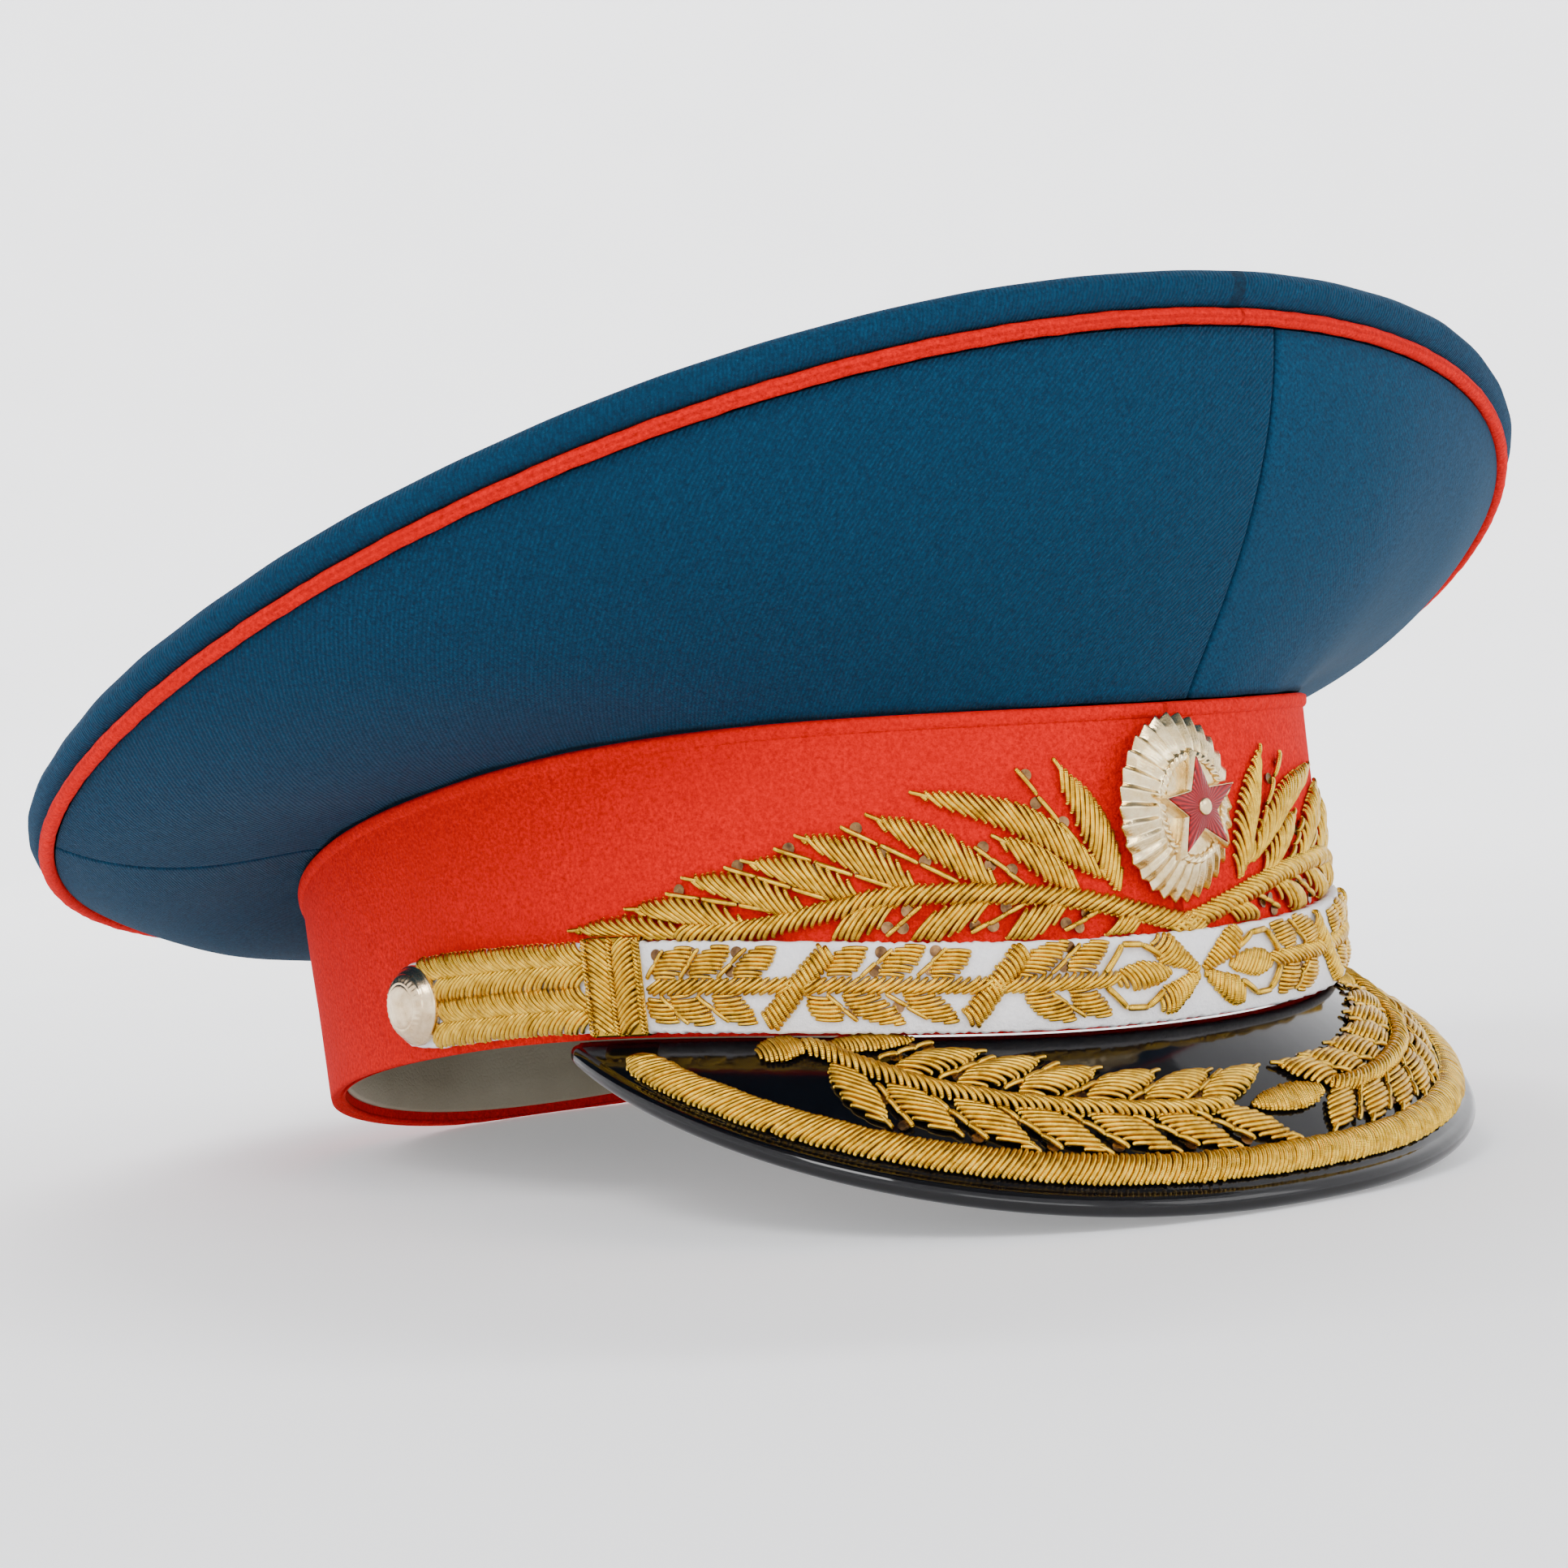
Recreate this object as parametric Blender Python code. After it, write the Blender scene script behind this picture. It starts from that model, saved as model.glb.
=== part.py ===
"""Dress visor cap: a wide front-raised crown on an upright band, with a black visor,
laurel sprays in padded purl, a front strap on two buttons and an oval cockade.

Every piece is drawn in the cap's own frame, where the band's lower rim is level, and the
finished cap is then tipped back to lie on its visor's edge and the back of its rim.
Metres, +Z up, front towards -Y, the wearer's right towards -X.
"""
import math

import bpy
import bmesh
import numpy as np
from mathutils import Matrix

for old_object in list(bpy.data.objects):
    bpy.data.objects.remove(old_object, do_unlink=True)

# Clearance that touching pieces keep
GAP = 0.0003

# Oval of the rim, outside the band
RIM_HALF_LENGTH = 0.104
RIM_HALF_WIDTH = 0.088
RIM_SQUARENESS = 2.25
RIM_FRONT_NARROWING = 0.03
RIM_SIDE_LIFT = 0.0124

# Band, its folded lower edge, its welt and the sweatband inside
BAND_WALL = 0.0030
BAND_FRONT_HEIGHT = 0.0546
BAND_SIDE_HEIGHT = 0.0467
BAND_REAR_HEIGHT = 0.0380
BAND_FRONT_FLARE = 0.0044
BAND_REAR_FLARE = 0.0020
BAND_FOLD = 0.0007
RIM_PRESSED_FLAT = 0.0008
WELT_HEIGHT = 0.0022
WELT_PROUD = 0.0008
SWEATBAND_WALL = 0.0012
SWEATBAND_HEIGHT = 0.032
SWEATBAND_SETBACK = 0.0025

# Crown: oval of the piping, its height over the band, and the cloth
CROWN_HALF_WIDTH = 0.148
CROWN_HALF_LENGTH = 0.140
CROWN_FRONT_SPREAD = 0.06
CROWN_FRONT_RISE = 0.0597
CROWN_SIDE_RISE = 0.0115
CROWN_REAR_RISE = 0.0081
CROWN_TURN = math.radians(3.3)
SIDE_SEAM_ANGLE = math.radians(108)
CLOTH = 0.0020
PANEL_BULGE = 0.0042
SEAM_HALF_GAP = 0.0002
PIPING_RADIUS = 0.0014
PIPING_PROUD = 0.0009
ROLL_HEIGHT = 0.0062
ROLL_BULGE = 0.0024
TOP_DOME = 0.0015

# Visor
VISOR_HALF_ANGLE = math.radians(70.65)
VISOR_WIDTH = 0.0399
VISOR_END_WIDTH = 0.0040
VISOR_FULLNESS = 2.61
VISOR_SLOPE_FRONT = math.radians(52.5)
VISOR_SLOPE_END = math.radians(34.5)
VISOR_CURL = 0.35
VISOR_WALL = 0.0016
VISOR_EDGE_WIDTH = 0.0034
VISOR_EDGE_THICKNESS = 0.0034

# Padded purl on the visor, the band and the strap
PURL_LIFT = 0.0001
PURL_SEAT = GAP + PURL_LIFT
BORDER_INSET = 0.0075
BORDER_WIDTH = 0.0056
BORDER_HEIGHT = 0.0012
BORDER_END = 0.89
LEAF_HEIGHT = 0.0014
LEAF_WIDTH = 0.0036
STEM_WIDTH = 0.0026
SPRAY_REACH = 0.112
SPRAY_CLEAR = 0.0006

# Strap, keepers and buttons
STRAP_THICKNESS = 0.0024
STRAP_END_HEIGHT = 0.0165
STRAP_FRONT_HEIGHT = 0.0136
STRAP_LIFT = 0.0016
STRAP_FRONT_DROP = 0.0013
STRAP_DROP_ANGLE = math.radians(55)
STRAP_HALF_ANGLE = math.radians(92)
KEEPER_PLACE = 0.103
KEEPER_LENGTH = 0.0105
KEEPER_WALL = 0.0008
BUTTON_ANGLE = math.radians(89.8)
BUTTON_RADIUS = 0.0073
BUTTON_HEIGHT = 0.0046

# Cockade
ROSETTE_HALF_WIDTH = 0.0143
ROSETTE_HALF_HEIGHT = 0.0166
ROSETTE_DOME = 0.0052
ROSETTE_FOOT = 0.0200
ROSETTE_LEAN = math.radians(3.0)
COCKADE_YAW = math.radians(4.0)
COCKADE_TURN = math.radians(6.0)
ROSETTE_RAYS = 30
STAR_RADIUS = 0.0102
STAR_THICKNESS = 0.0015
STAR_BEVEL = 0.0011
ENAMEL_THICKNESS = 0.0007

COLUMNS_AROUND = 60


def swing(angle, front, side, rear):
    """Runs smoothly round the cap through a front, a side and a rear value."""
    return ((front + rear + 2 * side) / 4 + (front - rear) / 2 * math.cos(angle)
            + (front + rear - 2 * side) / 4 * math.cos(2 * angle))


def unit(vector):
    return vector / np.linalg.norm(vector)


def squared(value):
    return math.copysign(abs(value) ** (2 / RIM_SQUARENESS), value)


def rim_point(angle, flare=0.0):
    s, c = math.sin(angle), math.cos(angle)
    x = RIM_HALF_WIDTH * squared(s) * (1 - RIM_FRONT_NARROWING * c)
    return np.array([x, -(RIM_HALF_LENGTH + flare) * squared(c), RIM_SIDE_LIFT * s * s])


def band_height(angle):
    return swing(angle, BAND_FRONT_HEIGHT, BAND_SIDE_HEIGHT, BAND_REAR_HEIGHT)


def band_top(angle):
    flare = BAND_FRONT_FLARE if math.cos(angle) > 0 else BAND_REAR_FLARE
    return rim_point(angle, flare) + np.array([0, 0, band_height(angle)])


def surface_normal(surface, u, v, step=1e-4):
    """Normal of a surface function by central differences."""
    along = surface(u + step, v) - surface(u - step, v)
    across = surface(u, v + step) - surface(u, v - step)
    return unit(np.cross(along, across))


def band_wall_line(angle, height):
    low, top = rim_point(angle), band_top(angle)
    return low + (top - low) * height / np.linalg.norm(top - low)


def band_point(angle, height, off=0.0):
    """Point on the band's outside, a height above its rim, lifted off it by off."""
    point = band_wall_line(angle, height)
    if off == 0.0:
        return point
    return point + off * surface_normal(band_wall_line, angle, height)


def rim_normal(angle, step=1e-4):
    """Level outward normal of the rim."""
    along = rim_point(angle + step) - rim_point(angle - step)
    return unit(np.array([along[1], -along[0], 0.0]))


def band_length(angle):
    return float(np.linalg.norm(band_top(angle) - rim_point(angle)))


ARC_ANGLES = np.linspace(0.0, math.pi, 721)
ARC_POINTS = np.array([rim_point(float(a)) for a in ARC_ANGLES])
ARC_STEPS = np.linalg.norm(np.diff(ARC_POINTS[:, :2], axis=0), axis=1)
ARC_LENGTHS = np.concatenate([[0.0], np.cumsum(ARC_STEPS)])


def angle_at(arc):
    """Angle round the rim at a signed distance from the front, measured along the band."""
    return math.copysign(float(np.interp(abs(arc), ARC_LENGTHS, ARC_ANGLES)), arc)


def material(name, colour, roughness, metallic=0.0):
    made = bpy.data.materials.new(name)
    made.use_nodes = True
    shader = made.node_tree.nodes["Principled BSDF"]
    shader.inputs["Base Color"].default_value = (*colour, 1.0)
    shader.inputs["Roughness"].default_value = roughness
    shader.inputs["Metallic"].default_value = metallic
    return made


CROWN_CLOTH = material("crown_cloth", (0.011, 0.058, 0.125), 0.9)
RED_CLOTH = material("red_cloth", (0.62, 0.03, 0.022), 0.95)
LINING_LEATHER = material("sweatband_leather", (0.38, 0.34, 0.25), 0.6)
PATENT = material("patent", (0.006, 0.006, 0.007), 0.12)
GOLD_PURL = material("gold_purl", (0.62, 0.36, 0.07), 0.35, 0.9)
WHITE_FELT = material("white_felt", (0.82, 0.80, 0.84), 0.95)
PALE_GILT = material("pale_gilt", (0.72, 0.60, 0.33), 0.3, 0.95)
RED_ENAMEL = material("red_enamel", (0.35, 0.004, 0.03), 0.1)


def solid(name, points, faces, finish):
    """Closed mesh object with its faces turned out and its round parts shaded smooth."""
    mesh = bpy.data.meshes.new(name)
    mesh.from_pydata([tuple(float(v) for v in point) for point in points], [], faces)
    build = bmesh.new()
    build.from_mesh(mesh)
    bmesh.ops.recalc_face_normals(build, faces=build.faces)
    build.to_mesh(mesh)
    build.free()
    mesh.materials.append(finish)
    mesh.shade_smooth()
    mesh.set_sharp_from_angle(angle=math.radians(40))
    made = bpy.data.objects.new(name, mesh)
    bpy.context.collection.objects.link(made)
    return made


def loft(name, sections, finish, closed=False):
    """Skins a row of sections, each a closed loop of as many points."""
    count = len(sections[0])
    points = [point for section in sections for point in section]
    faces = []
    steps = len(sections) if closed else len(sections) - 1
    for i in range(steps):
        here, there = i * count, ((i + 1) % len(sections)) * count
        for j in range(count):
            k = (j + 1) % count
            faces.append((here + j, here + k, there + k, there + j))
    if not closed:
        last = (len(sections) - 1) * count
        faces.append(tuple(range(count)))
        faces.append(tuple(last + j for j in reversed(range(count))))
    return solid(name, points, faces, finish)


def turned(name, first_pole, rings, last_pole, finish):
    """Skins a stack of rings that closes at a point at each end."""
    count = len(rings[0])
    points = [first_pole] + [point for ring in rings for point in ring] + [last_pole]
    faces = []
    for i in range(len(rings) - 1):
        here, there = 1 + i * count, 1 + (i + 1) * count
        for j in range(count):
            k = (j + 1) % count
            faces.append((here + j, here + k, there + k, there + j))
    last = 1 + (len(rings) - 1) * count
    for j in range(count):
        k = (j + 1) % count
        faces.append((0, 1 + k, 1 + j))
        faces.append((len(points) - 1, last + j, last + k))
    return solid(name, points, faces, finish)


def around(columns=COLUMNS_AROUND):
    return [2 * math.pi * i / columns for i in range(columns)]


# Band: cloth over a stiffener, folded under at the rim
band_sections = []
for a in around():
    top_line = band_length(a)
    band_sections.append([
        band_point(a, BAND_FOLD),
        band_point(a, top_line),
        band_point(a, top_line, -BAND_WALL),
        band_point(a, BAND_FOLD, -BAND_WALL),
        band_point(a, 0.0, -(BAND_WALL - BAND_FOLD)),
        band_point(a, 0.0, -BAND_FOLD),
    ])
band = loft("band", band_sections, RED_CLOTH, closed=True)

# Welt: the raised fold along the band's upper edge
welt_sections = []
for a in around():
    top_line = band_length(a) - GAP
    welt_sections.append([
        band_point(a, top_line - WELT_HEIGHT, GAP),
        band_point(a, top_line - 0.8 * WELT_HEIGHT, GAP + WELT_PROUD),
        band_point(a, top_line - 0.15 * WELT_HEIGHT, GAP + WELT_PROUD),
        band_point(a, top_line, GAP),
    ])
loft("band_welt", welt_sections, RED_CLOTH, closed=True)

# Sweatband: a leather ring inside the band, set up a little from the rim
sweatband_sections = []
for a in around():
    outside = -(BAND_WALL + GAP)
    inside = outside - SWEATBAND_WALL
    upper = SWEATBAND_SETBACK + SWEATBAND_HEIGHT
    sweatband_sections.append([
        band_point(a, SWEATBAND_SETBACK, outside),
        band_point(a, upper, outside),
        band_point(a, upper, inside),
        band_point(a, SWEATBAND_SETBACK, inside),
    ])
loft("sweatband", sweatband_sections, LINING_LEATHER, closed=True)


def crown_level(share, angle):
    """Height of a taut cloth stretched over the piping's line, at a share of its radius."""
    front = BAND_FRONT_HEIGHT + CROWN_FRONT_RISE
    side = RIM_SIDE_LIFT + BAND_SIDE_HEIGHT + CROWN_SIDE_RISE
    rear = BAND_REAR_HEIGHT + CROWN_REAR_RISE
    mean = (front + rear + 2 * side) / 4
    lean = (front - rear) / 2 * share * math.cos(angle)
    saddle = (front + rear - 2 * side) / 4 * share * share * math.cos(2 * angle)
    return mean + lean + saddle


def crown_oval(angle):
    s, c = math.sin(angle), math.cos(angle)
    x = CROWN_HALF_WIDTH * s * (1 + CROWN_FRONT_SPREAD * c)
    return np.array([x, -CROWN_HALF_LENGTH * c, 0.0])


def piping_point(angle):
    return crown_oval(angle) + np.array([0, 0, crown_level(1.0, angle)])


def crown_normal(angle, step=1e-4):
    along = crown_oval(angle + step) - crown_oval(angle - step)
    return unit(np.array([along[1], -along[0], 0.0]))


# Columns shared by the crown's pieces, so that the seams fall on them
SEAMS = [CROWN_TURN, SIDE_SEAM_ANGLE, math.pi + CROWN_TURN, 2 * math.pi - SIDE_SEAM_ANGLE]
PANELS = ["side_panel_front_left", "side_panel_back_left",
          "side_panel_back_right", "side_panel_front_right"]
panel_columns = []
for index, start in enumerate(SEAMS):
    end = SEAMS[index + 1] if index < 3 else SEAMS[0] + 2 * math.pi
    steps = max(4, round(COLUMNS_AROUND * (end - start) / (2 * math.pi)))
    panel_columns.append([start + (end - start) * i / steps for i in range(steps + 1)])
crown_columns = [a for columns in panel_columns for a in columns[:-1]]


def panel_surface(angle, share):
    """Outside of the crown's wall, from the band at share 0 up to the piping at share 1."""
    foot = band_point(angle, band_length(angle), -GAP) + np.array([0, 0, GAP])
    tube = piping_point(angle)
    chord = tube - foot
    length = np.linalg.norm(chord)
    reach = math.hypot(chord[0], chord[1])
    level = np.array([chord[0], chord[1], 0.0]) / reach
    outward = (level * chord[2] - np.array([0, 0, reach])) / length
    head = tube - chord / length * (PIPING_RADIUS + GAP)
    head = head + outward * (PIPING_RADIUS - PIPING_PROUD)
    swell = PANEL_BULGE * 5.38 * max(share, 0.0) ** 1.5 * (1 - share)
    return foot + (head - foot) * share + outward * swell


# Quarter panels: four cloth walls from the band out to the piping
PANEL_ROWS = [0.0, 0.2, 0.4, 0.6, 0.8, 1.0]
seam_half_angle = SEAM_HALF_GAP / RIM_HALF_WIDTH
for name, columns in zip(PANELS, panel_columns):
    angles = list(columns)
    angles[0] += seam_half_angle
    angles[-1] -= seam_half_angle
    sections = []
    for a in angles:
        outer = [panel_surface(a, row) for row in PANEL_ROWS]
        inner = [panel_surface(a, row) - CLOTH * surface_normal(panel_surface, a, row)
                 for row in PANEL_ROWS]
        sections.append(outer + inner[::-1])
    loft(name, sections, CROWN_CLOTH)

# Piping: a cord covered in red cloth, sewn round the crown's rim
PIPING_SIDES = 6
piping_sections = []
for a in crown_columns:
    out = crown_normal(a)
    ring = []
    for i in range(PIPING_SIDES):
        turn = 2 * math.pi * i / PIPING_SIDES
        ring.append(piping_point(a) + PIPING_RADIUS
                    * (math.cos(turn) * out + math.sin(turn) * np.array([0, 0, 1.0])))
    piping_sections.append(ring)
loft("crown_piping", piping_sections, RED_CLOTH, closed=True)

# Crown top: rolled rim, then taut cloth in to the middle
# outward: share of the roll's bulge; up: share of the roll's height
ROLL_OUTSIDE = [(0.0, 0.0), (0.7, 0.2), (1.0, 0.45), (0.7, 0.72), (-0.4, 0.93), (-2.2, 1.0)]
ROLL_INSIDE = [(0.0, 0.0), (1.0, 0.45), (-0.4, 0.85)]
TOP_ROWS = [0.9, 0.7, 0.45, 0.2]
CROWN_RADIUS = (CROWN_HALF_WIDTH + CROWN_HALF_LENGTH) / 2


def top_point(angle, outward, up, share=1.0):
    """Point over the piping: outward of it and up from it, or at a share of the radius."""
    edge = crown_oval(angle) + crown_normal(angle) * outward
    radius = share * (1 + outward / CROWN_RADIUS)
    level = crown_level(radius, angle) + PIPING_RADIUS + GAP + up
    crest = TOP_DOME * (1 - min(radius, 1.0) ** 2)
    return np.array([edge[0] * share, edge[1] * share, level + crest])


roll_seat = PIPING_RADIUS - PIPING_PROUD
top_rings = []
for outward, up in ROLL_OUTSIDE:
    top_rings.append([top_point(a, roll_seat + outward * ROLL_BULGE, up * ROLL_HEIGHT)
                      for a in crown_columns])
last_outward = roll_seat + ROLL_OUTSIDE[-1][0] * ROLL_BULGE
for row in TOP_ROWS:
    top_rings.append([top_point(a, last_outward, ROLL_HEIGHT, row) for a in crown_columns])
under_rings = []
for row in TOP_ROWS[::-1]:
    under_rings.append([top_point(a, last_outward, ROLL_HEIGHT - CLOTH, row)
                        for a in crown_columns])
under_rings.append([top_point(a, last_outward, ROLL_HEIGHT - CLOTH) for a in crown_columns])
for outward, up in ROLL_INSIDE[::-1]:
    under_rings.append([top_point(a, roll_seat + outward * ROLL_BULGE - CLOTH, up * ROLL_HEIGHT)
                        for a in crown_columns])
outer_middle = top_point(0.0, 0.0, ROLL_HEIGHT, 0.0)
inner_middle = top_point(0.0, 0.0, ROLL_HEIGHT - CLOTH, 0.0)
turned("crown_top", inner_middle, under_rings + top_rings, outer_middle, CROWN_CLOTH)


def visor_width(share):
    full = 1 - abs(share) ** VISOR_FULLNESS
    return VISOR_END_WIDTH + (VISOR_WIDTH - VISOR_END_WIDTH) * full


def visor_line(share, distance):
    """Point on the visor's upper side: share of its half angle, distance out from its root."""
    angle = share * VISOR_HALF_ANGLE
    slope = VISOR_SLOPE_FRONT + (VISOR_SLOPE_END - VISOR_SLOPE_FRONT) * share * share
    width = visor_width(share)
    first = slope - VISOR_CURL / 2
    turn = first + VISOR_CURL * distance / width
    out = width * (math.sin(turn) - math.sin(first)) / VISOR_CURL
    down = width * (math.cos(first) - math.cos(turn)) / VISOR_CURL
    return rim_point(angle) + rim_normal(angle) * out - np.array([0, 0, down + GAP])


def visor_normal(share, distance):
    return -surface_normal(visor_line, share, distance)


def visor_point(share, distance, off=0.0):
    point = visor_line(share, distance)
    return point + off * visor_normal(share, distance)


# Visor: a curved patent shell with a thick rounded edge, its root under the band's fold
VISOR_SECTIONS = 36
# across: share of the edge's width in from its outer end; off: share of its thickness
EDGE_ROUND = [(1.0, 0.0), (0.55, 0.10), (0.15, 0.0), (-0.05, -0.35), (0.1, -0.75), (0.5, -0.88)]
visor_sections = []
for i in range(VISOR_SECTIONS + 1):
    t = -1 + 2 * i / VISOR_SECTIONS
    w = visor_width(t)
    root = rim_point(t * VISOR_HALF_ANGLE) - np.array([0, 0, GAP])
    inward = -rim_normal(t * VISOR_HALF_ANGLE)
    drop = np.array([0, 0, -VISOR_WALL])
    edge_start = w - VISOR_EDGE_WIDTH
    section = [root + inward * BAND_WALL, visor_point(t, 0.0)]
    section += [visor_point(t, edge_start * part) for part in (0.35, 0.7)]
    section += [visor_point(t, w - across * VISOR_EDGE_WIDTH, off * VISOR_EDGE_THICKNESS)
                for across, off in EDGE_ROUND]
    section += [visor_point(t, edge_start * part, -VISOR_WALL) for part in (1.0, 0.7, 0.35)]
    section += [root + inward * VISOR_WALL * 0.4 + drop, root + inward * BAND_WALL + drop]
    visor_sections.append(section)
visor = loft("visor", visor_sections, PATENT)


def padded_ribbon(name, path, normals, width, height, finish):
    """Low rounded strip laid along a path of points with their surface normals."""
    sections = []
    last = len(path) - 1
    for i, (point, normal) in enumerate(zip(path, normals)):
        ahead = unit(path[min(i + 1, last)] - path[max(i - 1, 0)])
        side = unit(np.cross(normal, ahead))
        end_share = min(i, last - i)
        swell = (0.45, 0.85, 1.0)[min(end_share, 2)]
        half = width / 2 * swell
        sections.append([point - side * half + normal * PURL_SEAT,
                         point - side * half * 0.6 + normal * (PURL_SEAT + height * swell),
                         point + side * half * 0.6 + normal * (PURL_SEAT + height * swell),
                         point + side * half + normal * PURL_SEAT])
    return loft(name, sections, finish)


# Border: one padded strip that follows the visor's edge
BORDER_STEPS = 44
border_path, border_normals = [], []
for i in range(BORDER_STEPS + 1):
    t = BORDER_END * math.sin((-0.5 + i / BORDER_STEPS) * math.pi)
    distance = visor_width(t) - BORDER_INSET
    border_path.append(visor_point(t, distance))
    border_normals.append(visor_normal(t, distance))
padded_ribbon("visor_border", border_path, border_normals, BORDER_WIDTH, BORDER_HEIGHT,
              GOLD_PURL)


def spray(name, chart, stem, leaves, rows, reach):
    """Laurel spray as one solid: a ridged stem whose side edges run out into padded leaves.

    chart gives a point for a place along, a place across and a height off the surface.
    stem lists (along, across). leaves lists (row, side, tip along, tip across), where row
    is the stem's stretch that the leaf grows from and side is 1 above it and -1 below.
    reach turns the shares of the chart into metres along and across.
    """
    stem = np.array(stem, float)
    scale = np.array(reach)
    run = np.concatenate([[0.0], np.cumsum(np.linalg.norm(np.diff(stem * scale, axis=0), axis=1))])
    places = np.linspace(0, run[-1], rows + 1)
    middle = np.stack([np.interp(places, run, stem[:, 0]), np.interp(places, run, stem[:, 1])], -1)
    points, faces = [], []

    def add(place, off):
        points.append(chart(place[0], place[1], off))
        return len(points) - 1

    rails = {1: [], -1: []}
    ridge = []
    for i, place in enumerate(middle):
        ahead = (middle[min(i + 1, rows)] - middle[max(i - 1, 0)]) * scale
        side = np.array([-ahead[1], ahead[0]]) / np.linalg.norm(ahead)
        taper = 0.5 if i in (0, rows) else 1.0
        for sign in (1, -1):
            edge = place + sign * side * STEM_WIDTH / 2 * taper / scale
            rails[sign].append((edge, add(edge, PURL_SEAT)))
        ridge.append(add(place, PURL_SEAT + LEAF_HEIGHT * 0.8))
    # A leaf's foot is an arch in the stem's flank, where their insides meet
    arches = {}
    for row, sign, tip_along, tip_across in leaves:
        near, far = rails[sign][row][0], rails[sign][row + 1][0]
        arches[row, sign] = add((near + far) / 2, PURL_SEAT + LEAF_HEIGHT * 0.6)
    for i in range(rows):
        upper, lower = rails[1], rails[-1]
        for sign in (1, -1):
            flank = [rails[sign][i][1], rails[sign][i + 1][1], ridge[i + 1], ridge[i]]
            if (i, sign) in arches:
                flank.insert(1, arches[i, sign])
            faces.append(tuple(flank[::sign]))
        faces.append((upper[i + 1][1], upper[i][1], lower[i][1], lower[i + 1][1]))
    faces.append((rails[1][0][1], ridge[0], rails[-1][0][1]))
    faces.append((rails[1][rows][1], rails[-1][rows][1], ridge[rows]))
    for row, sign, tip_along, tip_across in leaves:
        near, near_index = rails[sign][row]
        far, far_index = rails[sign][row + 1]
        start = (near + far) / 2
        tip = np.array([tip_along, tip_across])
        run_out = (tip - start) * scale
        side = np.array([-run_out[1], run_out[0]]) / np.linalg.norm(run_out)
        if np.dot(side, (far - near) * scale) < 0:
            side = -side
        before, crest_before = (near_index, far_index), arches[row, sign]
        for part, swell in ((0.42, 1.0), (0.75, 0.7)):
            centre = start + (tip - start) * part
            half = side * LEAF_WIDTH / 2 * swell / scale
            here = (add(centre - half, PURL_SEAT), add(centre + half, PURL_SEAT))
            crest = add(centre, PURL_SEAT + LEAF_HEIGHT * swell)
            faces.append((before[0], here[0], crest, crest_before))
            faces.append((crest_before, crest, here[1], before[1]))
            faces.append((before[1], here[1], here[0], before[0]))
            before, crest_before = here, crest
        point = add(tip, PURL_SEAT)
        faces.append((before[0], point, crest_before))
        faces.append((crest_before, point, before[1]))
        faces.append((before[1], point, before[0]))
    return solid(name, points, faces, GOLD_PURL)


# Sprays on the visor: along is a share of its half angle, across of its width there
VISOR_STEM = [(0.62, 0.11), (0.56, 0.235), (0.49, 0.33), (0.41, 0.37), (0.325, 0.40),
              (0.25, 0.43), (0.17, 0.45), (0.09, 0.47), (0.05, 0.48)]
# row on the stem, side, tip along, tip across
VISOR_LEAVES = [(2, -1, 0.515, 0.64), (5, -1, 0.42, 0.66), (8, -1, 0.335, 0.675),
                (11, -1, 0.25, 0.69), (14, -1, 0.165, 0.695), (17, -1, 0.085, 0.705),
                (2, 1, 0.46, 0.065), (5, 1, 0.365, 0.08), (8, 1, 0.285, 0.13),
                (11, 1, 0.205, 0.19), (14, 1, 0.12, 0.24), (17, 1, 0.045, 0.29)]
VISOR_SPRAY_ROWS = 20
visor_reach = (VISOR_HALF_ANGLE * RIM_HALF_LENGTH, VISOR_WIDTH)
for side_name, sign in (("right", -1), ("left", 1)):
    spray("visor_spray_" + side_name,
          lambda along, across, off, s=sign: visor_point(s * along, across * visor_width(along), off),
          VISOR_STEM, VISOR_LEAVES, VISOR_SPRAY_ROWS, visor_reach)


def strap_height(angle):
    share = min(abs(angle) / STRAP_HALF_ANGLE, 1.0)
    return STRAP_FRONT_HEIGHT + (STRAP_END_HEIGHT - STRAP_FRONT_HEIGHT) * share * share


def strap_top(angle):
    return STRAP_LIFT + strap_height(angle)


def strap_low(angle):
    """Height of the strap's lower edge, which comes down to the visor at the front."""
    share = min(abs(angle) / STRAP_DROP_ANGLE, 1.0)
    return STRAP_LIFT - STRAP_FRONT_DROP * (1 - share * share)


# Sprays on the band: along is a share of their reach, across of the band above the strap
BAND_STEM = [(0.012, 0.03), (0.098, 0.12), (0.17, 0.18), (0.244, 0.20), (0.374, 0.215),
             (0.50, 0.20), (0.596, 0.145), (0.696, 0.075), (0.80, 0.045), (0.875, 0.045),
             (0.985, 0.10)]
BAND_LEAVES = [(3, 1, 0.215, 0.765), (5, 1, 0.43, 0.64), (8, 1, 0.355, 0.36),
               (10, 1, 0.505, 0.545), (13, 1, 0.605, 0.46), (16, 1, 0.695, 0.37),
               (18, 1, 0.79, 0.30), (21, 1, 0.89, 0.24),
               (4, -1, 0.235, 0.02), (8, -1, 0.35, 0.012), (12, -1, 0.475, 0.012),
               (15, -1, 0.575, 0.012)]
BAND_SPRAY_ROWS = 29


def above_strap(sign, along, across, off):
    angle = angle_at(sign * along * SPRAY_REACH)
    foot = strap_top(angle) + SPRAY_CLEAR
    room = band_length(angle) - WELT_HEIGHT - foot
    return band_point(angle, foot + across * room, off)


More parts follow.
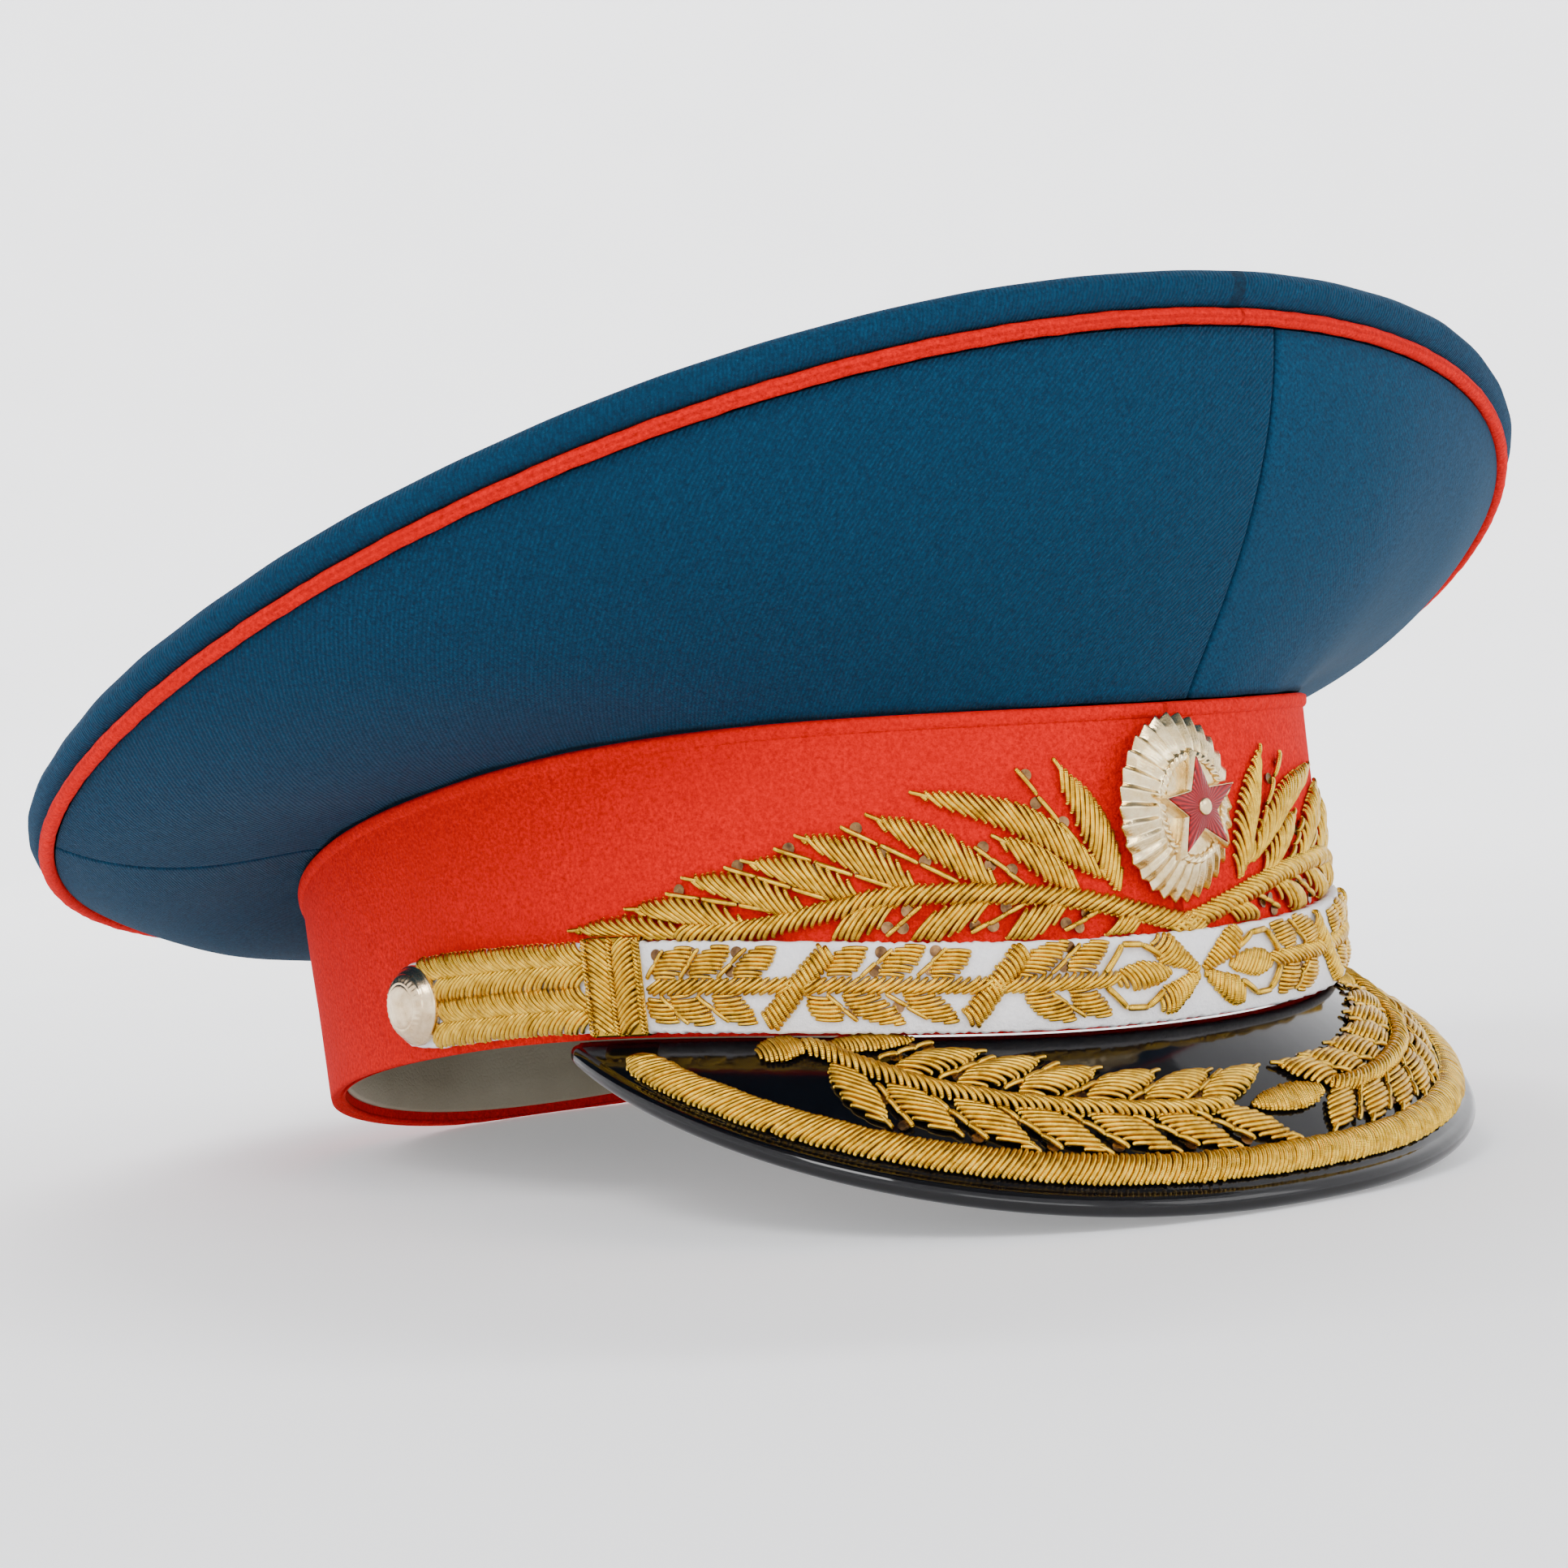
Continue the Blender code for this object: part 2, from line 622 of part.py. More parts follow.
spray_room = BAND_FRONT_HEIGHT - WELT_HEIGHT - STRAP_LIFT - STRAP_FRONT_HEIGHT - SPRAY_CLEAR
for side_name, sign in (("right", -1), ("left", 1)):
    spray("band_spray_" + side_name,
          lambda along, across, off, s=sign: above_strap(s, along, across, off),
          BAND_STEM, BAND_LEAVES, BAND_SPRAY_ROWS, (SPRAY_REACH, spray_room))

# Strap: white felt from button to button, rounded at its ends
STRAP_COLUMNS = 56
strap_angles = [STRAP_HALF_ANGLE * (-1 + 2 * i / STRAP_COLUMNS) for i in range(STRAP_COLUMNS + 1)]
strap_sections = []
for i, a in enumerate(strap_angles):
    end_share = min(i, STRAP_COLUMNS - i)
    height = (strap_top(a) - strap_low(a)) * (0.72, 0.96, 1.0)[min(end_share, 2)]
    middle_line = (strap_top(a) + strap_low(a)) / 2
    low, high = middle_line - height / 2, middle_line + height / 2
    soften = 0.3 * STRAP_THICKNESS
    face = GAP + STRAP_THICKNESS
    strap_sections.append([
        band_point(a, low, GAP), band_point(a, low, face - soften),
        band_point(a, low + soften, face), band_point(a, high - soften, face),
        band_point(a, high, face - soften), band_point(a, high, GAP)])
loft("strap", strap_sections, WHITE_FELT)

# Laurel runs on the strap: along is a share of the stretch inside the keepers
STRAP_STEM = [(0.97, 0.57), (0.75, 0.55), (0.5, 0.57), (0.25, 0.55), (0.08, 0.58)]
STRAP_LEAF_ROWS = (1, 4, 7, 10, 13, 16, 19, 22)
STRAP_SPRAY_ROWS = 25
STRAP_RUN = KEEPER_PLACE - KEEPER_LENGTH / 2 - GAP
strap_leaves = []
for row in STRAP_LEAF_ROWS:
    growth = STRAP_STEM[0][0] + (STRAP_STEM[-1][0] - STRAP_STEM[0][0]) * (row + 0.5) / STRAP_SPRAY_ROWS
    strap_leaves.append((row, 1, growth - 0.075, 0.10))
    strap_leaves.append((row, -1, growth - 0.065, 0.97))


def on_strap(sign, along, across, off):
    angle = angle_at(sign * along * STRAP_RUN)
    height = strap_low(angle) + (1 - across) * (strap_top(angle) - strap_low(angle))
    return band_point(angle, height, GAP + STRAP_THICKNESS + off)


for side_name, sign in (("right", -1), ("left", 1)):
    spray("strap_spray_" + side_name,
          lambda along, across, off, s=sign: on_strap(s, along, across, off),
          STRAP_STEM, strap_leaves, STRAP_SPRAY_ROWS, (STRAP_RUN, STRAP_FRONT_HEIGHT))

# Keepers: purl-covered bridges over the strap beside its embroidered run
KEEPER_STEPS = 3
for side_name, sign in (("right", -1), ("left", 1)):
    sections = []
    for i in range(KEEPER_STEPS + 1):
        a = angle_at(sign * (KEEPER_PLACE + KEEPER_LENGTH * (i / KEEPER_STEPS - 0.5)))
        low = STRAP_LIFT - GAP
        high = strap_top(a) + GAP
        face = GAP + STRAP_THICKNESS + GAP
        sections.append([
            band_point(a, low - KEEPER_WALL, GAP), band_point(a, low - KEEPER_WALL, face + KEEPER_WALL),
            band_point(a, high + KEEPER_WALL, face + KEEPER_WALL), band_point(a, high + KEEPER_WALL, GAP),
            band_point(a, high, GAP), band_point(a, high, face),
            band_point(a, low, face), band_point(a, low, GAP)])
    loft("keeper_" + side_name, sections, GOLD_PURL)


def seat_frame(angle, height, off, lean=0.0, yaw=0.0, turn=0.0):
    """Axes of a badge on the band: origin, across, up and out."""
    out = surface_normal(band_wall_line, angle, height)
    across = unit(rim_point(angle + 1e-4) - rim_point(angle - 1e-4))
    up = unit(np.cross(out, across))
    out, up = (out * math.cos(lean) - up * math.sin(lean),
               up * math.cos(lean) + out * math.sin(lean))
    out, across = (out * math.cos(yaw) + across * math.sin(yaw),
                   across * math.cos(yaw) - out * math.sin(yaw))
    across, up = (across * math.cos(turn) + up * math.sin(turn),
                  up * math.cos(turn) - across * math.sin(turn))
    return band_point(angle, height, off), across, up, out


# Buttons: domed gilt buttons that fix the strap's ends
BUTTON_SIDES = 22
# radius and height as shares of the button's own
BUTTON_PROFILE = [(0.90, 0.0), (1.0, 0.10), (0.98, 0.26), (0.86, 0.50), (0.62, 0.78), (0.32, 0.95)]
for side_name, sign in (("right", -1), ("left", 1)):
    height = STRAP_LIFT + strap_height(BUTTON_ANGLE) / 2
    origin, across, up, out = seat_frame(sign * BUTTON_ANGLE, height, GAP + STRAP_THICKNESS + GAP)
    rings = []
    for radius, rise in BUTTON_PROFILE:
        rings.append([origin + out * rise * BUTTON_HEIGHT + radius * BUTTON_RADIUS
                      * (math.cos(2 * math.pi * k / BUTTON_SIDES) * across
                         + math.sin(2 * math.pi * k / BUTTON_SIDES) * up)
                      for k in range(BUTTON_SIDES)])
    turned("button_" + side_name, origin, rings, origin + out * BUTTON_HEIGHT, PALE_GILT)

# Cockade: a domed oval of rays whose foot lies on the band, its top out over the welt
foot, across, up, out = seat_frame(0.0, ROSETTE_FOOT, GAP, ROSETTE_LEAN, COCKADE_YAW, COCKADE_TURN)
centre = foot + up * ROSETTE_HALF_HEIGHT + out * GAP
# radius as a share of the oval, rise as a share of the dome, dip of the valleys likewise
ROSETTE_PROFILE = [(1.0, 0.10, 0.0), (0.82, 0.50, 0.10), (0.62, 0.80, 0.08),
                   (0.55, 0.94, 0.0), (0.48, 0.86, 0.0)]
SEAT_SHARE = 0.94


def on_rosette(turn, radius, rise):
    return (centre + across * math.cos(turn) * radius * ROSETTE_HALF_WIDTH
            + up * math.sin(turn) * radius * ROSETTE_HALF_HEIGHT + out * rise)


ray_turns = [math.pi * k / ROSETTE_RAYS for k in range(2 * ROSETTE_RAYS)]
rosette_rings = [[on_rosette(turn, 0.90, 0.0) for turn in ray_turns]]
for radius, rise, dip in ROSETTE_PROFILE:
    ring = []
    for k, turn in enumerate(ray_turns):
        valley = k % 2
        tuck = 0.05 * valley if radius == 1.0 else 0.0
        ring.append(on_rosette(turn, radius - tuck, (rise - dip * valley) * ROSETTE_DOME))
    rosette_rings.append(ring)
turned("cockade_rosette", centre, rosette_rings, centre + out * ROSETTE_DOME * 0.9, PALE_GILT)


def star_outline(radius, rise):
    """Five-pointed outline about the cockade's middle."""
    ring = []
    for k in range(10):
        turn = math.pi / 2 + math.pi * k / 5
        reach = radius if k % 2 == 0 else radius * 0.42
        ring.append(centre + out * rise + reach * (math.cos(turn) * across + math.sin(turn) * up))
    return ring


star_seat = ROSETTE_DOME * SEAT_SHARE + GAP
star_face = star_seat + STAR_THICKNESS
star_rings = [star_outline(STAR_RADIUS, star_seat),
              star_outline(STAR_RADIUS, star_seat + 0.35 * STAR_THICKNESS),
              star_outline(STAR_RADIUS - STAR_BEVEL, star_face)]
turned("cockade_star", centre + out * star_seat, star_rings, centre + out * star_face, PALE_GILT)
enamel_seat = star_face + GAP
enamel_rings = [star_outline(STAR_RADIUS - 1.3 * STAR_BEVEL, enamel_seat),
                star_outline(STAR_RADIUS - 1.5 * STAR_BEVEL, enamel_seat + 0.4 * ENAMEL_THICKNESS)]
turned("cockade_enamel", centre + out * enamel_seat, enamel_rings,
       centre + out * (enamel_seat + ENAMEL_THICKNESS), RED_ENAMEL)


def world_points(made):
    return np.array([tuple(vertex.co) for vertex in made.data.vertices])


def rest_pitch():
    """Angle that the cap tips back until its visor and the pressed back of its rim both rest."""
    rim = world_points(band)
    edge = world_points(visor)
    low, high = 0.0, math.radians(30)
    for _ in range(50):
        pitch = (low + high) / 2
        rim_low = (rim[:, 2] * math.cos(pitch) - rim[:, 1] * math.sin(pitch)).min()
        edge_low = (edge[:, 2] * math.cos(pitch) - edge[:, 1] * math.sin(pitch)).min()
        if rim_low + RIM_PRESSED_FLAT > edge_low:
            low = pitch
        else:
            high = pitch
    return (low + high) / 2


# Tip the cap to its resting place, and stand it over the origin
pitch = rest_pitch()
tip_back = Matrix.Rotation(-pitch, 4, "X")
pieces = list(bpy.data.objects)
for piece in pieces:
    piece.data.transform(tip_back)
corners = np.concatenate([world_points(piece) for piece in pieces])
lowest = world_points(visor)[:, 2].min()
centre_line = (corners[:, 1].min() + corners[:, 1].max()) / 2
side_line = (corners[:, 0].min() + corners[:, 0].max()) / 2
for piece in pieces:
    piece.data.transform(Matrix.Translation((-side_line, -centre_line, -lowest)))
for vertex in band.data.vertices:
    vertex.co.z = max(vertex.co.z, 0.0)
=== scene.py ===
"""A dress visor cap, dressed piece by piece around its solid model, as it is sewn together."""
import math

import bpy
import numpy as np
from mathutils import Matrix, Vector


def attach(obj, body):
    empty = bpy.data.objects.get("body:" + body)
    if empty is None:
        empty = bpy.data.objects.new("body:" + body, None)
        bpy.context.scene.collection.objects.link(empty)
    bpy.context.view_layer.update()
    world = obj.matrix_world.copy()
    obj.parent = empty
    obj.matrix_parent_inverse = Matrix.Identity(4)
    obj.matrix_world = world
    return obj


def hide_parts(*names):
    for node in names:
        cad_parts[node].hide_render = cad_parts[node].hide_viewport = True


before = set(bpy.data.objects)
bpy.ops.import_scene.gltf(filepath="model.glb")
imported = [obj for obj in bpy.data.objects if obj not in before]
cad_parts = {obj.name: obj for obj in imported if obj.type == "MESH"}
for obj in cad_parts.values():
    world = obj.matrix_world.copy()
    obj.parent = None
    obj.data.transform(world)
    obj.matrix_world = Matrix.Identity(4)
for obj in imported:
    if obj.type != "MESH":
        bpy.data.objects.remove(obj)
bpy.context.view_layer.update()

# Camera: a long lens a little above the shelf, off the wearer's right front
CAMERA_PLACE = Vector((-0.4086, -0.5332, 0.0869))
CAMERA_AIM = Vector((0.0, -0.0060, 0.0710))
CAMERA_ROLL = math.radians(-3.0)
CAMERA_LENS = 78.0
CAMERA_SIDE_SHIFT = -0.0135

camera_data = bpy.data.cameras.new("camera")
camera_data.lens = CAMERA_LENS
camera_data.sensor_width = 36.0
camera_data.shift_x = CAMERA_SIDE_SHIFT
camera_data.clip_start = 0.01
camera = bpy.data.objects.new("camera", camera_data)
camera.location = CAMERA_PLACE
look = (CAMERA_AIM - CAMERA_PLACE).to_track_quat("-Z", "Y")
camera.rotation_euler = (look.to_matrix() @ Matrix.Rotation(CAMERA_ROLL, 3, "Z")).to_euler()
bpy.context.collection.objects.link(camera)
bpy.context.scene.camera = camera


# Red band: broadcloth over a stiff core, cut as one strip that is joined at the back.
# Its lower edge is folded under and pressed, and its upper edge is folded over and
# stitched through, which leaves a low lip with a dimple at each stitch.
TIP_BACK = math.radians(8.326)
STANDING = np.array([0.00005, -0.00870, 0.01412])
RIM_HALF_LENGTH = 0.104
RIM_HALF_WIDTH = 0.088
RIM_SQUARENESS = 2.25
RIM_FRONT_NARROWING = 0.03
RIM_SIDE_LIFT = 0.0124
BAND_FRONT_HEIGHT = 0.0546
BAND_SIDE_HEIGHT = 0.0467
BAND_REAR_HEIGHT = 0.0380
BAND_FRONT_FLARE = 0.0044
BAND_REAR_FLARE = 0.0020
BAND_WALL = 0.0030
GAP = 0.0003


def swing(angle, front, side, rear):
    """Runs smoothly round the cap through a front, a side and a rear value."""
    return ((front + rear + 2 * side) / 4 + (front - rear) / 2 * np.cos(angle)
            + (front + rear - 2 * side) / 4 * np.cos(2 * angle))


def unit(vectors):
    return vectors / np.linalg.norm(vectors, axis=-1, keepdims=True)


def stacked(x, y, z):
    return np.stack(np.broadcast_arrays(x, y, z), axis=-1)


def rim(angle, flare=0.0):
    s, c = np.sin(angle), np.cos(angle)
    across = np.sign(s) * np.abs(s) ** (2 / RIM_SQUARENESS)
    along = np.sign(c) * np.abs(c) ** (2 / RIM_SQUARENESS)
    x = RIM_HALF_WIDTH * across * (1 - RIM_FRONT_NARROWING * c)
    return stacked(x, -(RIM_HALF_LENGTH + flare) * along, RIM_SIDE_LIFT * s * s)


def band_top(angle):
    flare = np.where(np.cos(angle) > 0, BAND_FRONT_FLARE, BAND_REAR_FLARE)
    height = swing(angle, BAND_FRONT_HEIGHT, BAND_SIDE_HEIGHT, BAND_REAR_HEIGHT)
    return rim(angle, flare) + stacked(0 * height, 0 * height, height)


def band_height(angle):
    return np.linalg.norm(band_top(angle) - rim(angle), axis=-1)


def normals_of(surface, u, v, step=1e-4):
    along = surface(u + step, v) - surface(u - step, v)
    across = surface(u, v + step) - surface(u, v - step)
    return unit(np.cross(along, across))


def band_wall(angle, height):
    low, top = rim(angle), band_top(angle)
    share = np.asarray(height / band_height(angle))
    return low + (top - low) * share[..., None]


def on_band(angle, height, off=0.0):
    """Points on the outside of the band, a height above its rim and lifted by off."""
    normals = normals_of(band_wall, angle, height)
    return band_wall(angle, height) + normals * np.asarray(off)[..., None]


ARC_ANGLES = np.linspace(0.0, math.pi, 1441)
ARC_STEPS = np.linalg.norm(np.diff(rim(ARC_ANGLES)[:, :2], axis=0), axis=1)
ARC_LENGTHS = np.concatenate([[0.0], np.cumsum(ARC_STEPS)])


def angle_at(arc):
    """Angle round the rim at a signed distance from the front along the band."""
    return np.sign(arc) * np.interp(np.abs(arc), ARC_LENGTHS, ARC_ANGLES)


def arc_at(angle):
    return np.sign(angle) * np.interp(np.abs(angle), ARC_ANGLES, ARC_LENGTHS)


def tipped(points):
    """Takes points from the level cap to where it lies tipped back on its visor and rim."""
    c, s = math.cos(TIP_BACK), math.sin(TIP_BACK)
    x, y, z = points[..., 0], points[..., 1], points[..., 2]
    return np.stack([x, y * c + z * s, z * c - y * s], axis=-1) + STANDING


def piece(name, points, quads, triangles, finish, cloth_map=None):
    """Mesh object in the resting frame, smooth shaded; cloth_map is a pair for each point."""
    points = np.asarray(points, float).reshape(-1, 3)
    quads = np.asarray(quads, int).reshape(-1, 4)
    triangles = np.asarray(triangles, int).reshape(-1, 3)
    corners = np.concatenate([quads.ravel(), triangles.ravel()])
    starts = np.concatenate([np.arange(len(quads)) * 4,
                             len(quads) * 4 + np.arange(len(triangles)) * 3])
    mesh = bpy.data.meshes.new(name)
    mesh.vertices.add(len(points))
    mesh.vertices.foreach_set("co", tipped(points).astype(np.float32).ravel())
    mesh.loops.add(len(corners))
    mesh.loops.foreach_set("vertex_index", corners.astype(np.int32))
    mesh.polygons.add(len(starts))
    mesh.polygons.foreach_set("loop_start", starts.astype(np.int32))
    mesh.update(calc_edges=True)
    mesh.validate()
    if cloth_map is not None:
        layer = mesh.uv_layers.new(name="cloth")
        placed = np.asarray(cloth_map, float).reshape(-1, 2)[corners]
        layer.data.foreach_set("uv", placed.astype(np.float32).ravel())
    mesh.shade_smooth()
    mesh.materials.append(finish)
    made = bpy.data.objects.new(name, mesh)
    bpy.context.collection.objects.link(made)
    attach(made, "root")
    return made


def grid_quads(rows, columns, round_rows=False, round_columns=False):
    """Faces of a grid of rows by columns, which may close round on itself either way."""
    last_row = rows if round_rows else rows - 1
    last_column = columns if round_columns else columns - 1
    i, j = np.meshgrid(np.arange(last_row), np.arange(last_column), indexing="ij")
    here, there = i * columns, ((i + 1) % rows) * columns
    k = (j + 1) % columns
    return np.stack([here + j, there + j, there + k, here + k], axis=-1).reshape(-1, 4)


def loop_shell(name, sections, finish, cloth_map=None, closed=True):
    """Skins sections, an array of steps by points by 3, each section a closed loop."""
    steps, count = sections.shape[:2]
    quads = grid_quads(steps, count, round_rows=closed, round_columns=True)
    triangles = []
    points = sections.reshape(-1, 3)
    maps = None if cloth_map is None else np.asarray(cloth_map).reshape(-1, 2)
    if not closed:
        ends = sections[[0, -1]].mean(axis=1)
        first, last = len(points), len(points) + 1
        points = np.concatenate([points, ends])
        j = np.arange(count)
        k = (j + 1) % count
        base = (steps - 1) * count
        triangles = np.concatenate([
            np.stack([np.full(count, first), j, k], -1),
            np.stack([np.full(count, last), base + k, base + j], -1)])
        if maps is not None:
            maps = np.concatenate([maps, maps[[0, -1]]])
    return piece(name, points, quads, triangles, finish, maps)


class Shader:
    """Short way to write a node material: nodes by type, links as they are named."""

    def __init__(self, name, colour, roughness, metallic=0.0):
        self.material = bpy.data.materials.new(name)
        self.material.use_nodes = True
        self.tree = self.material.node_tree
        self.surface = self.tree.nodes["Principled BSDF"]
        self.set(self.surface, Base_Color=(*colour, 1.0), Roughness=roughness,
                 Metallic=metallic)

    def set(self, node, **values):
        for key, value in values.items():
            socket = node.inputs[key.replace("_", " ")]
            if isinstance(value, bpy.types.NodeSocket):
                self.tree.links.new(value, socket)
            else:
                socket.default_value = value
        return node

    def add(self, kind, settings=(), **values):
        node = self.tree.nodes.new("ShaderNode" + kind)
        for key, value in dict(settings).items():
            setattr(node, key, value)
        return self.set(node, **values)

    def place(self, scale, source="Object"):
        """Coordinates in metres, or the cloth's own, stretched by scale."""
        coordinates = self.add("TexCoord").outputs[source]
        return self.add("Mapping", Vector=coordinates, Scale=scale).outputs["Vector"]

    def noise(self, scale, detail=3.0, rough=0.6, where=None):
        where = where or self.place((1, 1, 1))
        return self.add("TexNoise", Vector=where, Scale=scale, Detail=detail,
                        Roughness=rough).outputs["Fac"]

    def mix(self, amount, low, high):
        """Blend of two colours, or of two sockets, by a 0 to 1 amount."""
        node = self.add("Mix", {"data_type": "RGBA"})
        self.tree.links.new(amount, node.inputs["Factor"])
        for index, value in ((6, low), (7, high)):
            if isinstance(value, bpy.types.NodeSocket):
                self.tree.links.new(value, node.inputs[index])
            else:
                node.inputs[index].default_value = (*value, 1.0)
        return node.outputs[2]

    def ramp(self, amount, low, high, out_low=0.0, out_high=1.0):
        return self.add("MapRange", Value=amount, From_Min=low, From_Max=high,
                        To_Min=out_low, To_Max=out_high).outputs["Result"]

    def sum(self, first, second, operation="ADD"):
        node = self.add("Math", {"operation": operation})
        for index, value in ((0, first), (1, second)):
            if isinstance(value, bpy.types.NodeSocket):
                self.tree.links.new(value, node.inputs[index])
            else:
                node.inputs[index].default_value = value
        return node.outputs[0]

    def bump(self, height, distance, strength=1.0, below=None):
        node = self.add("Bump", Height=height, Distance=distance, Strength=strength)
        if below is not None:
            self.tree.links.new(below, node.inputs["Normal"])
        return node.outputs["Normal"]


def red_broadcloth():
    """Napped red wool: a faint plain weave under felted fibres, paler where the nap lifts."""
    cloth = Shader("red_broadcloth", (0.62, 0.003, 0.002), 0.9)
    weave = cloth.place((1500, 1500, 1500), "UV")
    threads = cloth.add("TexVoronoi", {"feature": "F1"}, Vector=weave, Scale=1.0,
                        Randomness=0.75).outputs["Distance"]
    fibres = cloth.noise(1400, 4, 0.7)
    felt = cloth.noise(420, 4, 0.65)
    patches = cloth.noise(38, 3, 0.55)
    tone = cloth.mix(cloth.ramp(fibres, 0.35, 0.68), (0.40, 0.0008, 0.0005), (0.78, 0.0035, 0.0015))
    tone = cloth.mix(cloth.ramp(patches, 0.3, 0.75, 0.0, 0.45), tone, (0.50, 0.0015, 0.001))
    relief = cloth.sum(cloth.sum(fibres, 0.6, "MULTIPLY"), cloth.sum(threads, 0.5, "MULTIPLY"))
    lift = cloth.bump(relief, 0.00035, 0.8, cloth.bump(felt, 0.0007, 0.6))
    cloth.set(cloth.surface, Base_Color=tone, Normal=lift, Sheen_Weight=0.015,
              Sheen_Roughness=0.5, Sheen_Tint=(1.0, 0.15, 0.08, 1.0), Specular_IOR_Level=0.1)
    return cloth.material


RED_BROADCLOTH = red_broadcloth()
BAND_COLUMNS = 360
BAND_FOLD = 0.0009
BAND_ROWS = 24
around = np.linspace(0, 2 * math.pi, BAND_COLUMNS, endpoint=False)
full = band_height(around)


def band_ripple(angle, share):
    """Slight unevenness of cloth drawn over its core."""
    return (0.00012 * np.sin(9 * angle + 3 * share) * np.sin(math.pi * share)
            + 0.00010 * np.sin(23 * angle - 4 * share) * np.sin(math.pi * share) ** 2)


band_sections = []
for share in np.linspace(0.0, 1.0, BAND_ROWS):
    height = BAND_FOLD + (full - BAND_FOLD) * share
    band_sections.append((height, band_ripple(around, share), share))
for turn in np.linspace(0, math.pi / 2, 4)[1:]:
    band_sections.append((full, -BAND_FOLD * (1 - math.cos(turn)), 1.0))
for share in (1.0, 0.75, 0.5, 0.25, 0.0):
    height = BAND_FOLD + (full - BAND_FOLD) * share
    band_sections.append((height, -BAND_WALL + 0 * full, share))
for turn in np.linspace(math.pi / 2, 0, 4):
    band_sections.append((BAND_FOLD * (1 - math.sin(turn)),
                          -BAND_WALL + BAND_FOLD * (1 - math.cos(turn)), 0.0))
for turn in np.linspace(0, math.pi / 2, 4)[:-1]:
    band_sections.append((0.0, -BAND_FOLD * (1 - math.sin(turn)), 0.0))
band_grid = np.stack([on_band(around, height + 0 * full, off + 0 * full)
                      for height, off, share in band_sections], axis=1)
band_map = np.stack([np.stack([arc_at(around - math.pi), height + 0 * full], -1)
                     for height, off, share in band_sections], axis=1)
band = loop_shell("band_cloth", band_grid, RED_BROADCLOTH, band_map)
for vertex in band.data.vertices:
    vertex.co.z = max(vertex.co.z, 0.0)
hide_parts("band")

WELT_HEIGHT = 0.0024
WELT_PROUD = 0.0008
WELT_COLUMNS = 900
STITCH_PITCH = 0.0030
around_welt = np.linspace(0, 2 * math.pi, WELT_COLUMNS, endpoint=False)
welt_run = arc_at(around_welt - math.pi)
stitch_pull = 0.5 + 0.5 * np.cos(2 * math.pi * welt_run / STITCH_PITCH)
welt_top = band_height(around_welt) - GAP * 0.5
# down: share of the welt's height below its top; proud: share of its thickness
WELT_PROFILE = [(1.0, -0.3), (1.02, 0.2), (0.92, 0.55), (0.75, 0.9), (0.5, 1.0), (0.25, 1.0),
                (0.08, 0.85), (0.0, 0.45), (0.0, -0.3)]
welt_sections = []
for down, proud in WELT_PROFILE:
    tuck = 1 - 0.35 * stitch_pull * max(0.0, min(1.0, (down - 0.4) / 0.4))
    welt_sections.append(on_band(around_welt, welt_top - down * WELT_HEIGHT,
                                 WELT_PROUD * proud * tuck))
welt = loop_shell("band_welt_fold", np.stack(welt_sections, axis=1), RED_BROADCLOTH,
                  np.stack([np.stack([welt_run, 0 * welt_run + down * WELT_HEIGHT], -1)
                            for down, proud in WELT_PROFILE], axis=1))
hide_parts("band_welt")


# Sweatband: a strip of beige leather sewn round the inside of the rim and joined with a
# plain seam; it lines the band and shows where the rim lifts off the shelf.
def sweat_leather():
    hide = Shader("sweatband_leather", (0.40, 0.36, 0.26), 0.55)
    grain = hide.add("TexVoronoi", {"feature": "DISTANCE_TO_EDGE"}, Vector=hide.place((1, 1, 1)),
                     Scale=900.0).outputs["Distance"]
    handling = hide.noise(30, 3, 0.6)
    tone = hide.mix(hide.ramp(handling, 0.3, 0.7), (0.44, 0.40, 0.29), (0.33, 0.29, 0.20))
    hide.set(hide.surface, Base_Color=tone, Roughness=hide.ramp(handling, 0.3, 0.7, 0.45, 0.65),
             Normal=hide.bump(hide.ramp(grain, 0.0, 0.25), 0.00012, 0.5))
    return hide.material


SWEAT_LEATHER = sweat_leather()
SWEATBAND_HEIGHT = 0.032
SWEATBAND_SETBACK = 0.0025
SWEATBAND_WALL = 0.0012
SWEATBAND_JOIN = math.radians(128)
JOIN_DEPTH = 0.0005
JOIN_SPREAD = 0.008
around_sweat = np.linspace(0, 2 * math.pi, 300, endpoint=False)
sweat_outside = -(BAND_WALL + GAP)
join_gap = np.abs((around_sweat + SWEATBAND_JOIN - math.pi) % (2 * math.pi) - math.pi)
join_dip = JOIN_DEPTH * np.exp(-(join_gap / JOIN_SPREAD) ** 2)
sweat_sections = []
# height: share of the strip's; off: share of its thickness inward
SWEATBAND_PROFILE = [(0.0, 0.0), (0.5, 0.0), (1.0, 0.0), (1.0, 0.5), (0.985, 1.0), (0.8, 1.0),
                     (0.5, 1.0), (0.2, 1.0), (0.015, 1.0), (0.0, 0.5)]
for height, off in SWEATBAND_PROFILE:
    level = SWEATBAND_SETBACK + height * SWEATBAND_HEIGHT + 0 * join_dip
    sweat_sections.append(on_band(around_sweat, level, sweat_outside - off * (SWEATBAND_WALL - join_dip)))
sweatband = loop_shell("sweatband_strip", np.stack(sweat_sections, axis=1), SWEAT_LEATHER)
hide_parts("sweatband")


